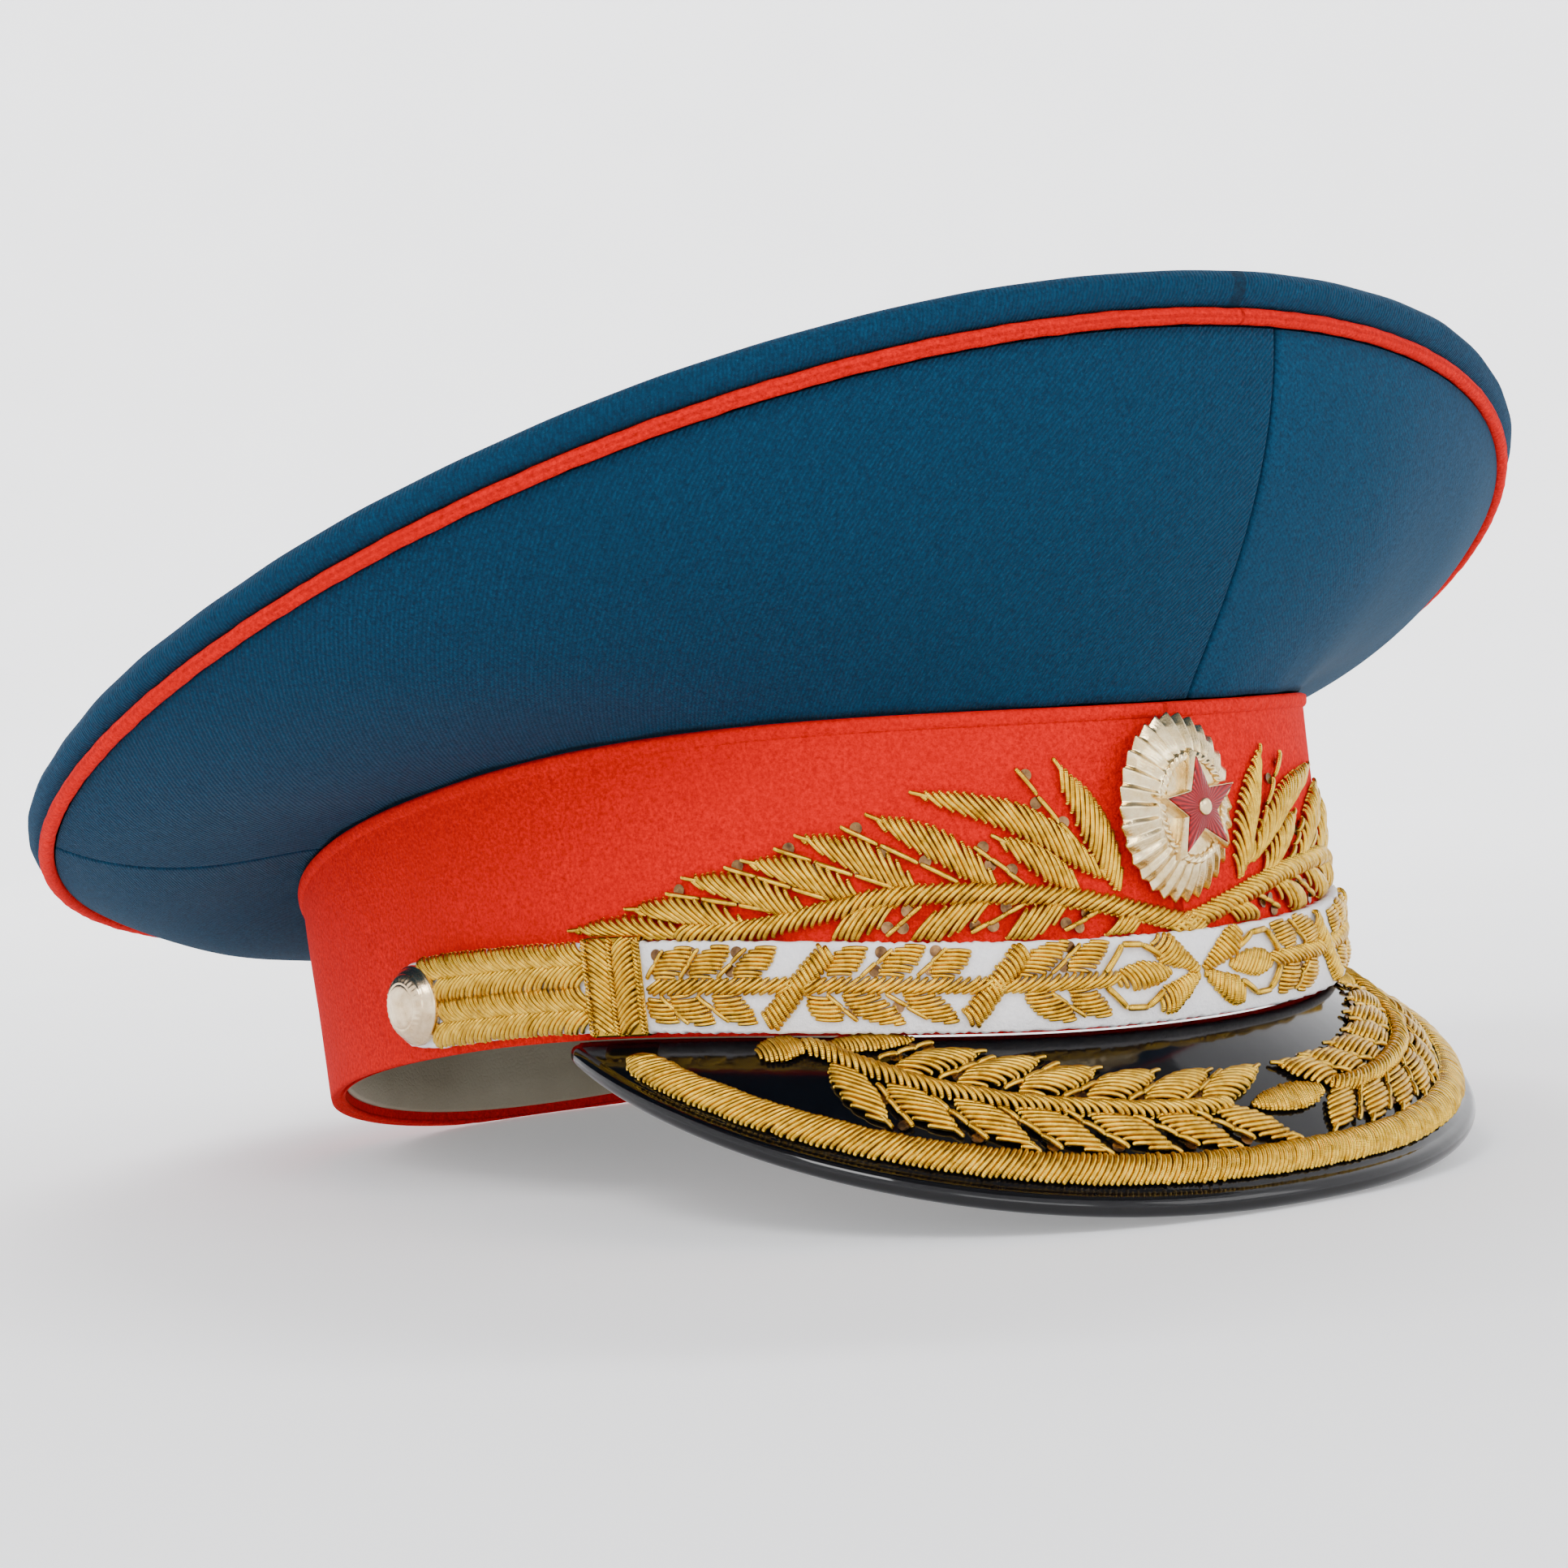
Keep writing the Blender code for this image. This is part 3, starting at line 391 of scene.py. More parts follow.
# Crown walls: four quarters of blue gabardine, stiffened and drawn from the band out to
# the piping. Their edges are turned in and seamed at the front, the back and both sides.
CROWN_HALF_WIDTH = 0.148
CROWN_HALF_LENGTH = 0.140
CROWN_FRONT_SPREAD = 0.06
CROWN_FRONT_RISE = 0.0597
CROWN_SIDE_RISE = 0.0115
CROWN_REAR_RISE = 0.0081
CROWN_TURN = math.radians(3.3)
SIDE_SEAM_ANGLE = math.radians(108)
CLOTH = 0.0020
PANEL_BULGE = 0.0042
PIPING_RADIUS = 0.0014
PIPING_PROUD = 0.0009


def crown_level(share, angle):
    """Height of taut cloth stretched over the piping's line, at a share of its radius."""
    front = BAND_FRONT_HEIGHT + CROWN_FRONT_RISE
    side = RIM_SIDE_LIFT + BAND_SIDE_HEIGHT + CROWN_SIDE_RISE
    rear = BAND_REAR_HEIGHT + CROWN_REAR_RISE
    return ((front + rear + 2 * side) / 4 + (front - rear) / 2 * share * np.cos(angle)
            + (front + rear - 2 * side) / 4 * share * share * np.cos(2 * angle))


def crown_oval(angle):
    s, c = np.sin(angle), np.cos(angle)
    return stacked(CROWN_HALF_WIDTH * s * (1 + CROWN_FRONT_SPREAD * c), -CROWN_HALF_LENGTH * c, 0 * s)


def crown_out(angle, step=1e-4):
    along = crown_oval(angle + step) - crown_oval(angle - step)
    return unit(stacked(along[..., 1], -along[..., 0], 0 * along[..., 0]))


def piping_line(angle):
    level = crown_level(1.0, angle)
    return crown_oval(angle) + stacked(0 * level, 0 * level, level)


def panel_wall(angle, share):
    """Outside of the crown's wall, from the band at share 0 out to the piping at share 1."""
    share = np.asarray(share)[..., None]
    foot = on_band(angle, band_height(angle), -GAP + 0 * angle) + np.array([0, 0, GAP])
    tube = piping_line(angle)
    chord = tube - foot
    length = np.linalg.norm(chord, axis=-1, keepdims=True)
    reach = np.linalg.norm(chord[..., :2], axis=-1, keepdims=True)
    level = np.concatenate([chord[..., :2] / reach, 0 * reach], -1)
    outward = (level * chord[..., 2:3] - np.array([0, 0, 1.0]) * reach) / length
    head = tube - chord / length * (PIPING_RADIUS + GAP) + outward * (PIPING_RADIUS - PIPING_PROUD)
    swell = PANEL_BULGE * 5.38 * np.maximum(share, 0) ** 1.5 * (1 - share)
    return foot + (head - foot) * share + outward * swell


RIB_PITCH = 0.0021


def blue_gabardine(name, weave_angle, depth):
    """Blue wool gabardine: steep diagonal ribs under a light nap, flecked with pale fibres, with painted
    shade darkening the rib troughs.
    """
    cloth = Shader(name, (0.003, 0.030, 0.068), 0.85)
    turn = cloth.add("Mapping", Vector=cloth.add("TexCoord").outputs["UV"],
                     Rotation=(0, 0, weave_angle)).outputs["Vector"]
    ribs = cloth.add("TexWave", {"wave_type": "BANDS", "bands_direction": "X", "wave_profile": "SIN"},
                     Vector=turn, Scale=1 / RIB_PITCH, Distortion=2.2, Detail=2.0,
                     Detail_Scale=2.5).outputs["Fac"]
    fibres = cloth.noise(1600, 4, 0.7)
    nap = cloth.noise(260, 4, 0.6)
    patches = cloth.noise(26, 3, 0.55)
    flecks = cloth.noise(2600, 2, 0.5)
    tone = cloth.mix(cloth.ramp(fibres, 0.35, 0.68), (0.0007, 0.0135, 0.035), (0.0035, 0.0520, 0.112))
    # painted shade: where the rib wave is low, in the troughs the bump sinks, the tone is pulled toward a
    # darker blue, more so as depth grows
    tone = cloth.mix(cloth.ramp(ribs, 0.0, 1.0, 1.0 - 0.6 * depth, 1.0), (0.0012, 0.0170, 0.042), tone)
    tone = cloth.mix(cloth.ramp(patches, 0.3, 0.75, 0.0, 0.35), tone, (0.0014, 0.0250, 0.056))
    tone = cloth.mix(cloth.ramp(flecks, 0.66, 0.78, 0.0, 0.35), tone, (0.035, 0.12, 0.19))
    relief = cloth.sum(cloth.sum(ribs, 0.8 * depth, "MULTIPLY"), cloth.sum(fibres, 0.5, "MULTIPLY"))
    lift = cloth.bump(relief, 0.00028, 0.75, cloth.bump(nap, 0.0006, 0.35))
    cloth.set(cloth.surface, Base_Color=tone, Normal=lift, Sheen_Weight=0.03,
              Sheen_Roughness=0.45, Sheen_Tint=(0.35, 0.7, 1.0, 1.0), Specular_IOR_Level=0.12)
    return cloth.material


GABARDINE_STEEP = blue_gabardine("gabardine_front_right", math.radians(38), 1.0)
GABARDINE_LEVEL = blue_gabardine("gabardine_front_left", math.radians(-52), 0.15)
GABARDINE_BACK = blue_gabardine("gabardine_back", math.radians(62), 0.8)
GABARDINE_TOP = blue_gabardine("gabardine_top", math.radians(12), 0.8)
SEAM_HALF_GAP = 0.00012
SEAM_ROUND = 0.0007
PANEL_ROWS = 40


def panel_ripple(angle, share):
    """Soft unevenness of the stiffened wall, and the gathers by the band."""
    low = np.exp(-(share / 0.10) ** 2)
    return (0.00035 * np.sin(5 * angle + 1.3) * np.sin(math.pi * share)
            + 0.00020 * np.sin(13 * angle + 5 * share) * np.sin(math.pi * share)
            - 0.00030 * low * (0.5 + 0.5 * np.sin(31 * angle)))


PANELS = [("side_panel_front_left", CROWN_TURN, SIDE_SEAM_ANGLE, GABARDINE_LEVEL),
          ("side_panel_back_left", SIDE_SEAM_ANGLE, math.pi + CROWN_TURN, GABARDINE_BACK),
          ("side_panel_back_right", math.pi + CROWN_TURN, 2 * math.pi - SIDE_SEAM_ANGLE, GABARDINE_BACK),
          ("side_panel_front_right", 2 * math.pi - SIDE_SEAM_ANGLE, 2 * math.pi + CROWN_TURN,
           GABARDINE_STEEP)]
for name, start, end, finish in PANELS:
    columns = round(math.degrees(end - start) * 1.5)
    edge = SEAM_HALF_GAP / 0.1
    round_angle = SEAM_ROUND / 0.1
    first = start + edge + round_angle * (1 - np.cos(np.linspace(0, math.pi / 2, 5)))[:-1]
    middle = np.linspace(start + edge + round_angle, end - edge - round_angle, columns)
    last = (start + end - first)[::-1]
    angles = np.concatenate([first, middle, last])
    sink = np.zeros(len(angles))
    sink[:4] = SEAM_ROUND * (1 - np.sin(np.linspace(0, math.pi / 2, 5)))[:-1]
    sink[-4:] = sink[:4][::-1]
    a, v = np.meshgrid(angles, np.linspace(0, 1, PANEL_ROWS), indexing="ij")
    outer_normals = normals_of(panel_wall, a, v)
    off = panel_ripple(a, v) - sink[:, None]
    outer = panel_wall(a, v) + outer_normals * off[..., None]
    inner = panel_wall(a, v) - outer_normals * (CLOTH - 0.0001)
    grid = np.concatenate([outer, inner[:, ::-1]], axis=1)
    run = a * 0.115
    rise = v * 0.065
    uv = np.stack([np.concatenate([run, run[:, ::-1]], 1), np.concatenate([rise, rise[:, ::-1]], 1)], -1)
    panel = loop_shell(name + "_cloth", grid, finish, uv, closed=False)
    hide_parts(name)


# Piping: red cloth wrapped round a cord and caught in the seam between wall and top. It
# wavers a little where the seam pulls on it.
PIPING_COLUMNS = 1400
PIPING_SIDES = 14
around_piping = np.linspace(0, 2 * math.pi, PIPING_COLUMNS, endpoint=False)
waver = 0.00004 * np.sin(61 * around_piping) + 0.00003 * np.sin(143 * around_piping + 1.0)
swelling = 1 + 0.015 * np.sin(97 * around_piping) + 0.012 * np.sin(211 * around_piping + 2.0)
piping_out = crown_out(around_piping)
turns = np.linspace(0, 2 * math.pi, PIPING_SIDES, endpoint=False)
piping_grid = (piping_line(around_piping)[:, None]
               + np.array([0, 0, 1.0]) * waver[:, None, None]
               + (PIPING_RADIUS * swelling)[:, None, None]
               * (np.cos(turns)[None, :, None] * piping_out[:, None]
                  + np.sin(turns)[None, :, None] * np.array([0, 0, 1.0])))
run = around_piping * 0.144
piping_map = np.stack(np.broadcast_arrays(run[:, None], turns[None] * PIPING_RADIUS), -1)
piping = loop_shell("piping_cord", piping_grid, RED_BROADCLOTH, piping_map)
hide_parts("crown_piping")


# Crown top: a disc of the same gabardine drawn taut over a springy ring, so that it rolls
# down over the ring to the piping and lies nearly flat within it.
ROLL_HEIGHT = 0.0062
ROLL_BULGE = 0.0024
TOP_DOME = 0.0015
CROWN_RADIUS = (CROWN_HALF_WIDTH + CROWN_HALF_LENGTH) / 2
# outward: share of the roll's bulge; up: share of the roll's height
ROLL_OUTSIDE = np.array([(0.0, 0.0), (0.7, 0.2), (1.0, 0.45), (0.7, 0.72), (-0.4, 0.93), (-2.2, 1.0)])
ROLL_INSIDE = np.array([(-2.2, 0.68), (-0.4, 0.68), (0.8, 0.45), (0.0, 0.0)])


def top_point(angle, outward, up, share=1.0):
    edge = crown_oval(angle) + crown_out(angle) * outward
    radius = share * (1 + outward / CROWN_RADIUS)
    level = crown_level(radius, angle) + PIPING_RADIUS + GAP + up
    crest = TOP_DOME * (1 - min(radius, 1.0) ** 2)
    return stacked(edge[..., 0] * share, edge[..., 1] * share, level + crest)


def smooth_run(table, steps):
    """A table's points joined by a smooth curve through them, as steps points."""
    table = np.asarray(table, float)
    knots = np.concatenate([[0], np.cumsum(np.linalg.norm(np.diff(table, axis=0), axis=1))])
    spots = np.linspace(0, knots[-1], steps)
    slopes = np.gradient(table, knots, axis=0)
    index = np.clip(np.searchsorted(knots, spots, side="right") - 1, 0, len(knots) - 2)
    width = knots[index + 1] - knots[index]
    t = ((spots - knots[index]) / width)[:, None]
    width = width[:, None]
    return ((2 * t ** 3 - 3 * t ** 2 + 1) * table[index] + (t ** 3 - 2 * t ** 2 + t) * width * slopes[index]
            + (3 * t ** 2 - 2 * t ** 3) * table[index + 1] + (t ** 3 - t ** 2) * width * slopes[index + 1])


TOP_COLUMNS = 360
around_top = np.linspace(0, 2 * math.pi, TOP_COLUMNS, endpoint=False)
roll_seat = PIPING_RADIUS - PIPING_PROUD
top_rings, top_maps = [], []
for index, (outward, up) in enumerate(smooth_run(ROLL_OUTSIDE, 22)):
    wave = 0.00022 * np.sin(17 * around_top + 1) * min(up, 1.0) + 0.00012 * np.sin(53 * around_top) * up
    top_rings.append(top_point(around_top, roll_seat + outward * ROLL_BULGE, up * ROLL_HEIGHT)
                     + crown_out(around_top) * wave[:, None])
    top_maps.append(np.stack([around_top * 0.146, 0 * around_top + index * 0.0005], -1))
inset = roll_seat + ROLL_OUTSIDE[-1][0] * ROLL_BULGE
for share in np.linspace(0.97, 0.03, 26):
    sag = 0.00035 * np.sin(6 * around_top) * share ** 3
    ring = top_point(around_top, inset, ROLL_HEIGHT, share)
    ring[:, 2] += sag
    top_rings.append(ring)
    top_maps.append(np.stack([around_top * 0.146, 0 * around_top + 0.011 + (1 - share) * 0.14], -1))
under_rings = []
for share in np.linspace(0.03, 0.97, 8):
    under_rings.append(top_point(around_top, inset, ROLL_HEIGHT - CLOTH, share))
for outward, up in ROLL_INSIDE:
    under_rings.append(top_point(around_top, roll_seat + outward * ROLL_BULGE - CLOTH, up * ROLL_HEIGHT))
rings = np.stack(under_rings + top_rings)
flat_maps = [np.stack([around_top * 0.146, 0 * around_top], -1)] * len(under_rings)
points = np.concatenate([rings.reshape(-1, 3),
                         top_point(np.zeros(1), 0.0, ROLL_HEIGHT - CLOTH, 0.0),
                         top_point(np.zeros(1), 0.0, ROLL_HEIGHT, 0.0)])
maps = np.concatenate([np.stack(flat_maps + top_maps).reshape(-1, 2), np.zeros((2, 2))])
quads = grid_quads(len(rings), TOP_COLUMNS, round_columns=True)
j = np.arange(TOP_COLUMNS)
k = (j + 1) % TOP_COLUMNS
base = (len(rings) - 1) * TOP_COLUMNS
pole = len(rings) * TOP_COLUMNS
triangles = np.concatenate([np.stack([np.full(TOP_COLUMNS, pole), j, k], -1),
                            np.stack([np.full(TOP_COLUMNS, pole + 1), base + k, base + j], -1)])
crown_top = piece("crown_top_cloth", points, quads, triangles, GABARDINE_TOP, maps)
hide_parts("crown_top")


# Visor: black patent over board, moulded to a downward curl, its edge bound in a thick
# rounded roll. Its root is caught between the band and the sweatband.
VISOR_HALF_ANGLE = math.radians(70.65)
VISOR_WIDTH = 0.0399
VISOR_END_WIDTH = 0.0040
VISOR_FULLNESS = 2.61
VISOR_SLOPE_FRONT = math.radians(52.5)
VISOR_SLOPE_END = math.radians(34.5)
VISOR_CURL = 0.35
VISOR_WALL = 0.0016
VISOR_EDGE_WIDTH = 0.0034
VISOR_EDGE_THICKNESS = 0.0034


def patent():
    """Black patent: a deep clear gloss with the faint orange-peel of lacquered leather."""
    lacquer = Shader("patent", (0.0022, 0.0022, 0.0030), 0.10)
    peel = lacquer.noise(150, 2, 0.5)
    rubs = lacquer.noise(22, 3, 0.6)
    lacquer.set(lacquer.surface, Roughness=lacquer.ramp(rubs, 0.35, 0.7, 0.05, 0.14),
                Normal=lacquer.bump(peel, 0.0005, 0.10), Coat_Weight=0.1, Coat_Roughness=0.03,
                Specular_IOR_Level=0.28)
    return lacquer.material


def visor_width(share):
    full_width = 1 - np.abs(share) ** VISOR_FULLNESS
    return VISOR_END_WIDTH + (VISOR_WIDTH - VISOR_END_WIDTH) * full_width


def rim_out(angle, step=1e-4):
    along = rim(angle + step) - rim(angle - step)
    return unit(stacked(along[..., 1], -along[..., 0], 0 * along[..., 0]))


def visor_sheet(share, distance):
    """Upper side of the visor: share of its half angle, distance out from its root."""
    angle = share * VISOR_HALF_ANGLE
    slope = VISOR_SLOPE_FRONT + (VISOR_SLOPE_END - VISOR_SLOPE_FRONT) * share * share
    width = visor_width(share)
    first = slope - VISOR_CURL / 2
    turn = first + VISOR_CURL * distance / width
    out = width * (np.sin(turn) - np.sin(first)) / VISOR_CURL
    down = width * (np.cos(first) - np.cos(turn)) / VISOR_CURL
    return rim(angle) + rim_out(angle) * out[..., None] - stacked(0 * down, 0 * down, down + GAP)


def on_visor(share, distance, off=0.0):
    share, distance = np.broadcast_arrays(np.asarray(share, float), np.asarray(distance, float))
    normals = -normals_of(visor_sheet, share, distance)
    return visor_sheet(share, distance) + normals * np.asarray(off)[..., None]


PATENT = patent()
VISOR_COLUMNS = 220
# across: share of the edge's width in from its outer end; off: share of its thickness
EDGE_ROUND = np.array([(1.0, 0.0), (0.85, 0.06), (0.55, 0.14), (0.25, 0.08), (0.02, -0.12), (-0.06, -0.38),
                       (0.04, -0.66), (0.28, -0.86), (0.6, -0.9), (0.9, -0.62), (1.0, -0.48)])
t = np.linspace(-1, 1, VISOR_COLUMNS)
w = visor_width(t)
inner_edge = w - VISOR_EDGE_WIDTH
root = rim(t * VISOR_HALF_ANGLE) - np.array([0, 0, GAP])
inward = -rim_out(t * VISOR_HALF_ANGLE)
columns = [root + inward * BAND_WALL]
columns += [on_visor(t, inner_edge * part) for part in np.linspace(0, 0.985, 18)]
columns += [on_visor(t, w - across * VISOR_EDGE_WIDTH, off * VISOR_EDGE_THICKNESS + 0 * t)
            for across, off in smooth_run(EDGE_ROUND, 34)]
columns += [on_visor(t, inner_edge * part, -VISOR_WALL + 0 * t) for part in np.linspace(0.97, 0.3, 8)]
columns += [root + inward * VISOR_WALL * 0.4 - np.array([0, 0, VISOR_WALL]),
            root + inward * BAND_WALL - np.array([0, 0, VISOR_WALL])]
visor = loop_shell("visor_patent", np.stack(columns, axis=1), PATENT, closed=False)
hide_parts("visor")


# Border on the visor: gold purl, a fine coil of gilt wire cut into short lengths, laid
# slantwise side by side over a cord of padding and stitched down at both ends.
PURL_RADIUS = 0.00046
PURL_RINGS = 9
PURL_SIDES = 7
PURL_SEAT = 0.0003
PURL_BOW = 0.07
TWIG_SWAY = 0.00012
SEQUIN_ASIDE = 0.0008
SEQUIN_TILT = 0.16
BORDER_INSET = 0.0075
BORDER_HALF_WIDTH = 0.0027
BORDER_END = 0.89
needle = np.random.default_rng(11)


def gold_purl():
    """Gilt wire coil: bright on its crest, deep amber between, with a fine coiled relief."""
    wire = Shader("gold_purl", (0.62, 0.36, 0.020), 0.26, 1.0)
    coil = wire.add("TexWave", {"bands_direction": "X"}, Vector=wire.place((1, 1, 1), "UV"),
                    Scale=1100.0, Distortion=0.6, Detail=1.0).outputs["Fac"]
    age = wire.noise(320, 3, 0.6)
    length_tone = wire.noise(900, 1, 0.5)
    tone = wire.mix(wire.ramp(age, 0.35, 0.7), (0.72, 0.43, 0.028), (0.36, 0.18, 0.005))
    tone = wire.mix(wire.ramp(length_tone, 0.4, 0.7, 0.0, 0.5), tone, (0.88, 0.60, 0.085))
    wire.set(wire.surface, Base_Color=tone, Roughness=wire.ramp(age, 0.3, 0.75, 0.18, 0.30),
             Normal=wire.bump(coil, 0.00006, 0.6))
    return wire.material


GOLD_PURL = gold_purl()


def tubes(paths, ups, radii):
    """Skins many short tubes at once: paths and ups are lengths by rings by 3."""
    count, rings = paths.shape[:2]
    ahead = unit(np.gradient(paths, axis=1))
    side = unit(np.cross(ups, ahead))
    rise = np.cross(ahead, side)
    turn = np.linspace(0, 2 * math.pi, PURL_SIDES, endpoint=False)
    taper = np.ones(rings)
    taper[[0, -1]] = 0.8
    reach = (radii[:, None] * taper)[..., None, None]
    skin = (paths[:, :, None] + reach * (np.cos(turn)[:, None] * side[:, :, None]
                                         + np.sin(turn)[:, None] * rise[:, :, None]))
    ends = np.stack([paths[:, 0] - ahead[:, 0] * radii[:, None] * 0.45,
                     paths[:, -1] + ahead[:, -1] * radii[:, None] * 0.45], axis=1)
    each = rings * PURL_SIDES + 2
    points = np.concatenate([skin.reshape(count, -1, 3), ends], axis=1).reshape(-1, 3)
    base = np.arange(count)[:, None, None] * each
    quads = (grid_quads(rings, PURL_SIDES, round_columns=True)[None] + base).reshape(-1, 4)
    j = np.arange(PURL_SIDES)
    k = (j + 1) % PURL_SIDES
    last = (rings - 1) * PURL_SIDES
    caps = np.concatenate([np.stack([np.full(PURL_SIDES, each - 2), k, j], -1),
                           np.stack([np.full(PURL_SIDES, each - 1), last + j, last + k], -1)])
    run = np.concatenate([np.zeros((count, 1)),
                          np.cumsum(np.linalg.norm(np.diff(paths, axis=1), axis=-1), axis=1)], axis=1)
    along = np.repeat(run[:, :, None], PURL_SIDES, axis=2).reshape(count, -1)
    along = np.concatenate([along, run[:, [0, -1]]], axis=1)
    place = np.stack([along, np.broadcast_to(np.arange(count)[:, None] * 0.01, along.shape)], -1)
    return points, quads, (caps[None] + base).reshape(-1, 3), place.reshape(-1, 2)


def purl_piece(name, laid, replaced):
    """One joined piece from many laid lengths, in place of its solid."""
    paths, ups, radii = (np.concatenate(part) for part in zip(*laid))
    points, quads, triangles, place = tubes(paths, ups, radii)
    made = piece(name, points, quads, triangles, GOLD_PURL, place)
    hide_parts(replaced)
    return made


def seam_line(chart, path, steps=60):
    """A line drawn on the cap: its points, the way out of the cloth, and the way aside."""
    path = np.asarray(path, float)
    drawn = smooth_run(path, steps)
    at = chart(drawn[:, 0], drawn[:, 1], 0.0 * drawn[:, 0])
    out = unit(chart(drawn[:, 0], drawn[:, 1], 0.0 * drawn[:, 0] + 0.001) - at)
    ahead = unit(np.gradient(at, axis=0))
    side = unit(np.cross(out, ahead))
    reach = np.concatenate([[0.0], np.cumsum(np.linalg.norm(np.diff(at, axis=0), axis=1))])
    return drawn, at, out, ahead, side, reach


def along_line(values, reach, run):
    return np.stack([np.interp(run, reach, values[:, i]) for i in range(values.shape[1])], -1)


def leaf_shape(share):
    return np.maximum(np.sin(math.pi * np.clip(share, 0, 1) ** 0.85), 0.0) ** 0.7


def strip_shape(share):
    """A strip of even width that is rounded off at its two ends."""
    near = np.clip(np.minimum(share, 1 - share) / 0.03, 0, 1)
    return np.sqrt(np.maximum(1 - (1 - near) ** 2, 0.0))


def laid_purl(chart, path, half_width, slant, pad, shape=leaf_shape, radius=PURL_RADIUS,
              within=None, tip=False):
    """Lengths of purl laid at a slant in degrees across a padded strip drawn on the cap."""
    drawn, at, out, ahead, side, reach = seam_line(chart, path)
    full = reach[-1]
    start, stop = slant if isinstance(slant, tuple) else (slant, slant)
    places = [radius]
    while places[-1] < full - radius:
        lean = math.radians(start + (stop - start) * places[-1] / full)
        places.append(places[-1] + 2 * radius * 0.93 / abs(math.sin(lean)))
    places = np.array(places)
    angles = np.radians(start + (stop - start) * places / full + needle.uniform(-1.5, 1.5, len(places)))
    steps = 121
    span = np.linspace(-1, 1, steps) * min(max(6 * half_width, 0.003), full)
    run = places[:, None] + span * np.cos(angles)[:, None]
    across = span * np.sin(angles)[:, None]
    inside = (np.abs(across) <= half_width * shape(run / full)) & (run >= 0) & (run <= full)
    if within is not None:
        where = along_line(drawn, reach, run.ravel()).reshape(*run.shape, 2)
        heading = unit(np.gradient(drawn, axis=0))
        heading = along_line(heading, reach, run.ravel()).reshape(*run.shape, 2)
        turn = 1.0 if np.dot(side[0], chart(drawn[:1, 0] - heading[0, 0, 1] * 1.0,
                                            drawn[:1, 1] + heading[0, 0, 0] * 1.0,
                                            np.zeros(1))[0] - at[0]) > 0 else -1.0
        x = where[..., 0] - heading[..., 1] * across * 1000 * turn
        y = where[..., 1] + heading[..., 0] * across * 1000 * turn
        inside &= within(x, y)
    middle = steps // 2
    inside[:, middle] |= within is None
    ahead_count = np.minimum.accumulate(inside[:, middle:], axis=1).sum(axis=1)
    back_count = np.minimum.accumulate(inside[:, middle::-1], axis=1).sum(axis=1)
    kept = (ahead_count + back_count) * (span[1] - span[0]) > 2.2 * radius
    high = span[np.minimum(middle + ahead_count, steps) - 1]
    low = span[np.maximum(middle - back_count + 1, 0)]
    high = high + needle.uniform(-0.00012, 0.00022, len(places))
    low = low - needle.uniform(-0.00012, 0.00022, len(places))
    places, angles, low, high = places[kept], angles[kept], low[kept], high[kept]
    across_share = np.sin(np.linspace(-math.pi / 2, math.pi / 2, PURL_RINGS))
    spread = (low + high)[:, None] / 2 + (high - low)[:, None] / 2 * across_share
    bow = PURL_BOW * (high - low)[:, None] * (1 - across_share ** 2)
    run = places[:, None] + spread * np.cos(angles)[:, None] + bow
    aside = spread * np.sin(angles)[:, None]
    flat = np.clip(run, 0, full).ravel()
    outs = unit(along_line(out, reach, flat)).reshape(*run.shape, 3)
    sides = unit(along_line(side, reach, flat)).reshape(*run.shape, 3)
    heads = unit(along_line(ahead, reach, flat)).reshape(*run.shape, 3)
    points = along_line(at, reach, flat).reshape(*run.shape, 3)
    points = points + heads * (run - np.clip(run, 0, full))[..., None] + sides * aside[..., None]
    swell = np.maximum(shape(places / full), 0.25) * needle.uniform(0.9, 1.1, len(places))
    lift = PURL_SEAT + radius * 0.35 + pad * swell[:, None] * np.maximum(1 - across_share ** 2, 0) ** 0.55
    points = points + outs * lift[..., None]
    radii = radius * needle.uniform(0.94, 1.05, len(places))
    laid = [(points, outs, radii)]
    if tip:
        laid.append(single_purl(chart, path[-1], path[-2], radius))
    return tuple(np.concatenate(part) for part in zip(*laid))


def single_purl(chart, tip, foot, radius):
    """The last length at a leaf's tip, laid along the leaf."""
    drawn, at, out, ahead, side, reach = seam_line(chart, [foot, tip])
    run = reach[-1] - 0.0022 + 0.0034 * np.linspace(0, 1, PURL_RINGS)
    flat = np.clip(run, 0, reach[-1])
    heads, outs = along_line(ahead, reach, flat), unit(along_line(out, reach, flat))
    points = along_line(at, reach, flat) + heads * (run - flat)[:, None]
    arch = PURL_SEAT + radius * 0.6 + 0.0003 * np.sin(np.linspace(0, math.pi, PURL_RINGS))
    return (points + outs * arch[:, None])[None], outs[None], np.array([radius * 0.95])


def twig(chart, foot, tip, lengths=3, radius=0.00048):
    """A bare twig: thin purl in a few lengths, end to end and slightly crooked."""
    drawn, at, out, ahead, side, reach = seam_line(chart, [foot, tip])
    sets, all_outs = [], []
    for i in range(lengths):
        share = (i + np.linspace(0.04, 0.96, PURL_RINGS)) / lengths
        run = share * reach[-1]
        outs = unit(along_line(out, reach, run))
        sway = needle.uniform(-TWIG_SWAY, TWIG_SWAY)
        arch = PURL_SEAT + radius * 0.9 + 0.00035 * np.sin(np.linspace(0, math.pi, PURL_RINGS)) ** 0.5
        points = along_line(at, reach, run) + along_line(side, reach, run) * sway
        sets.append((points + outs * arch[:, None])[None])
        all_outs.append(outs[None])
    return np.concatenate(sets), np.concatenate(all_outs), np.full(lengths, radius)


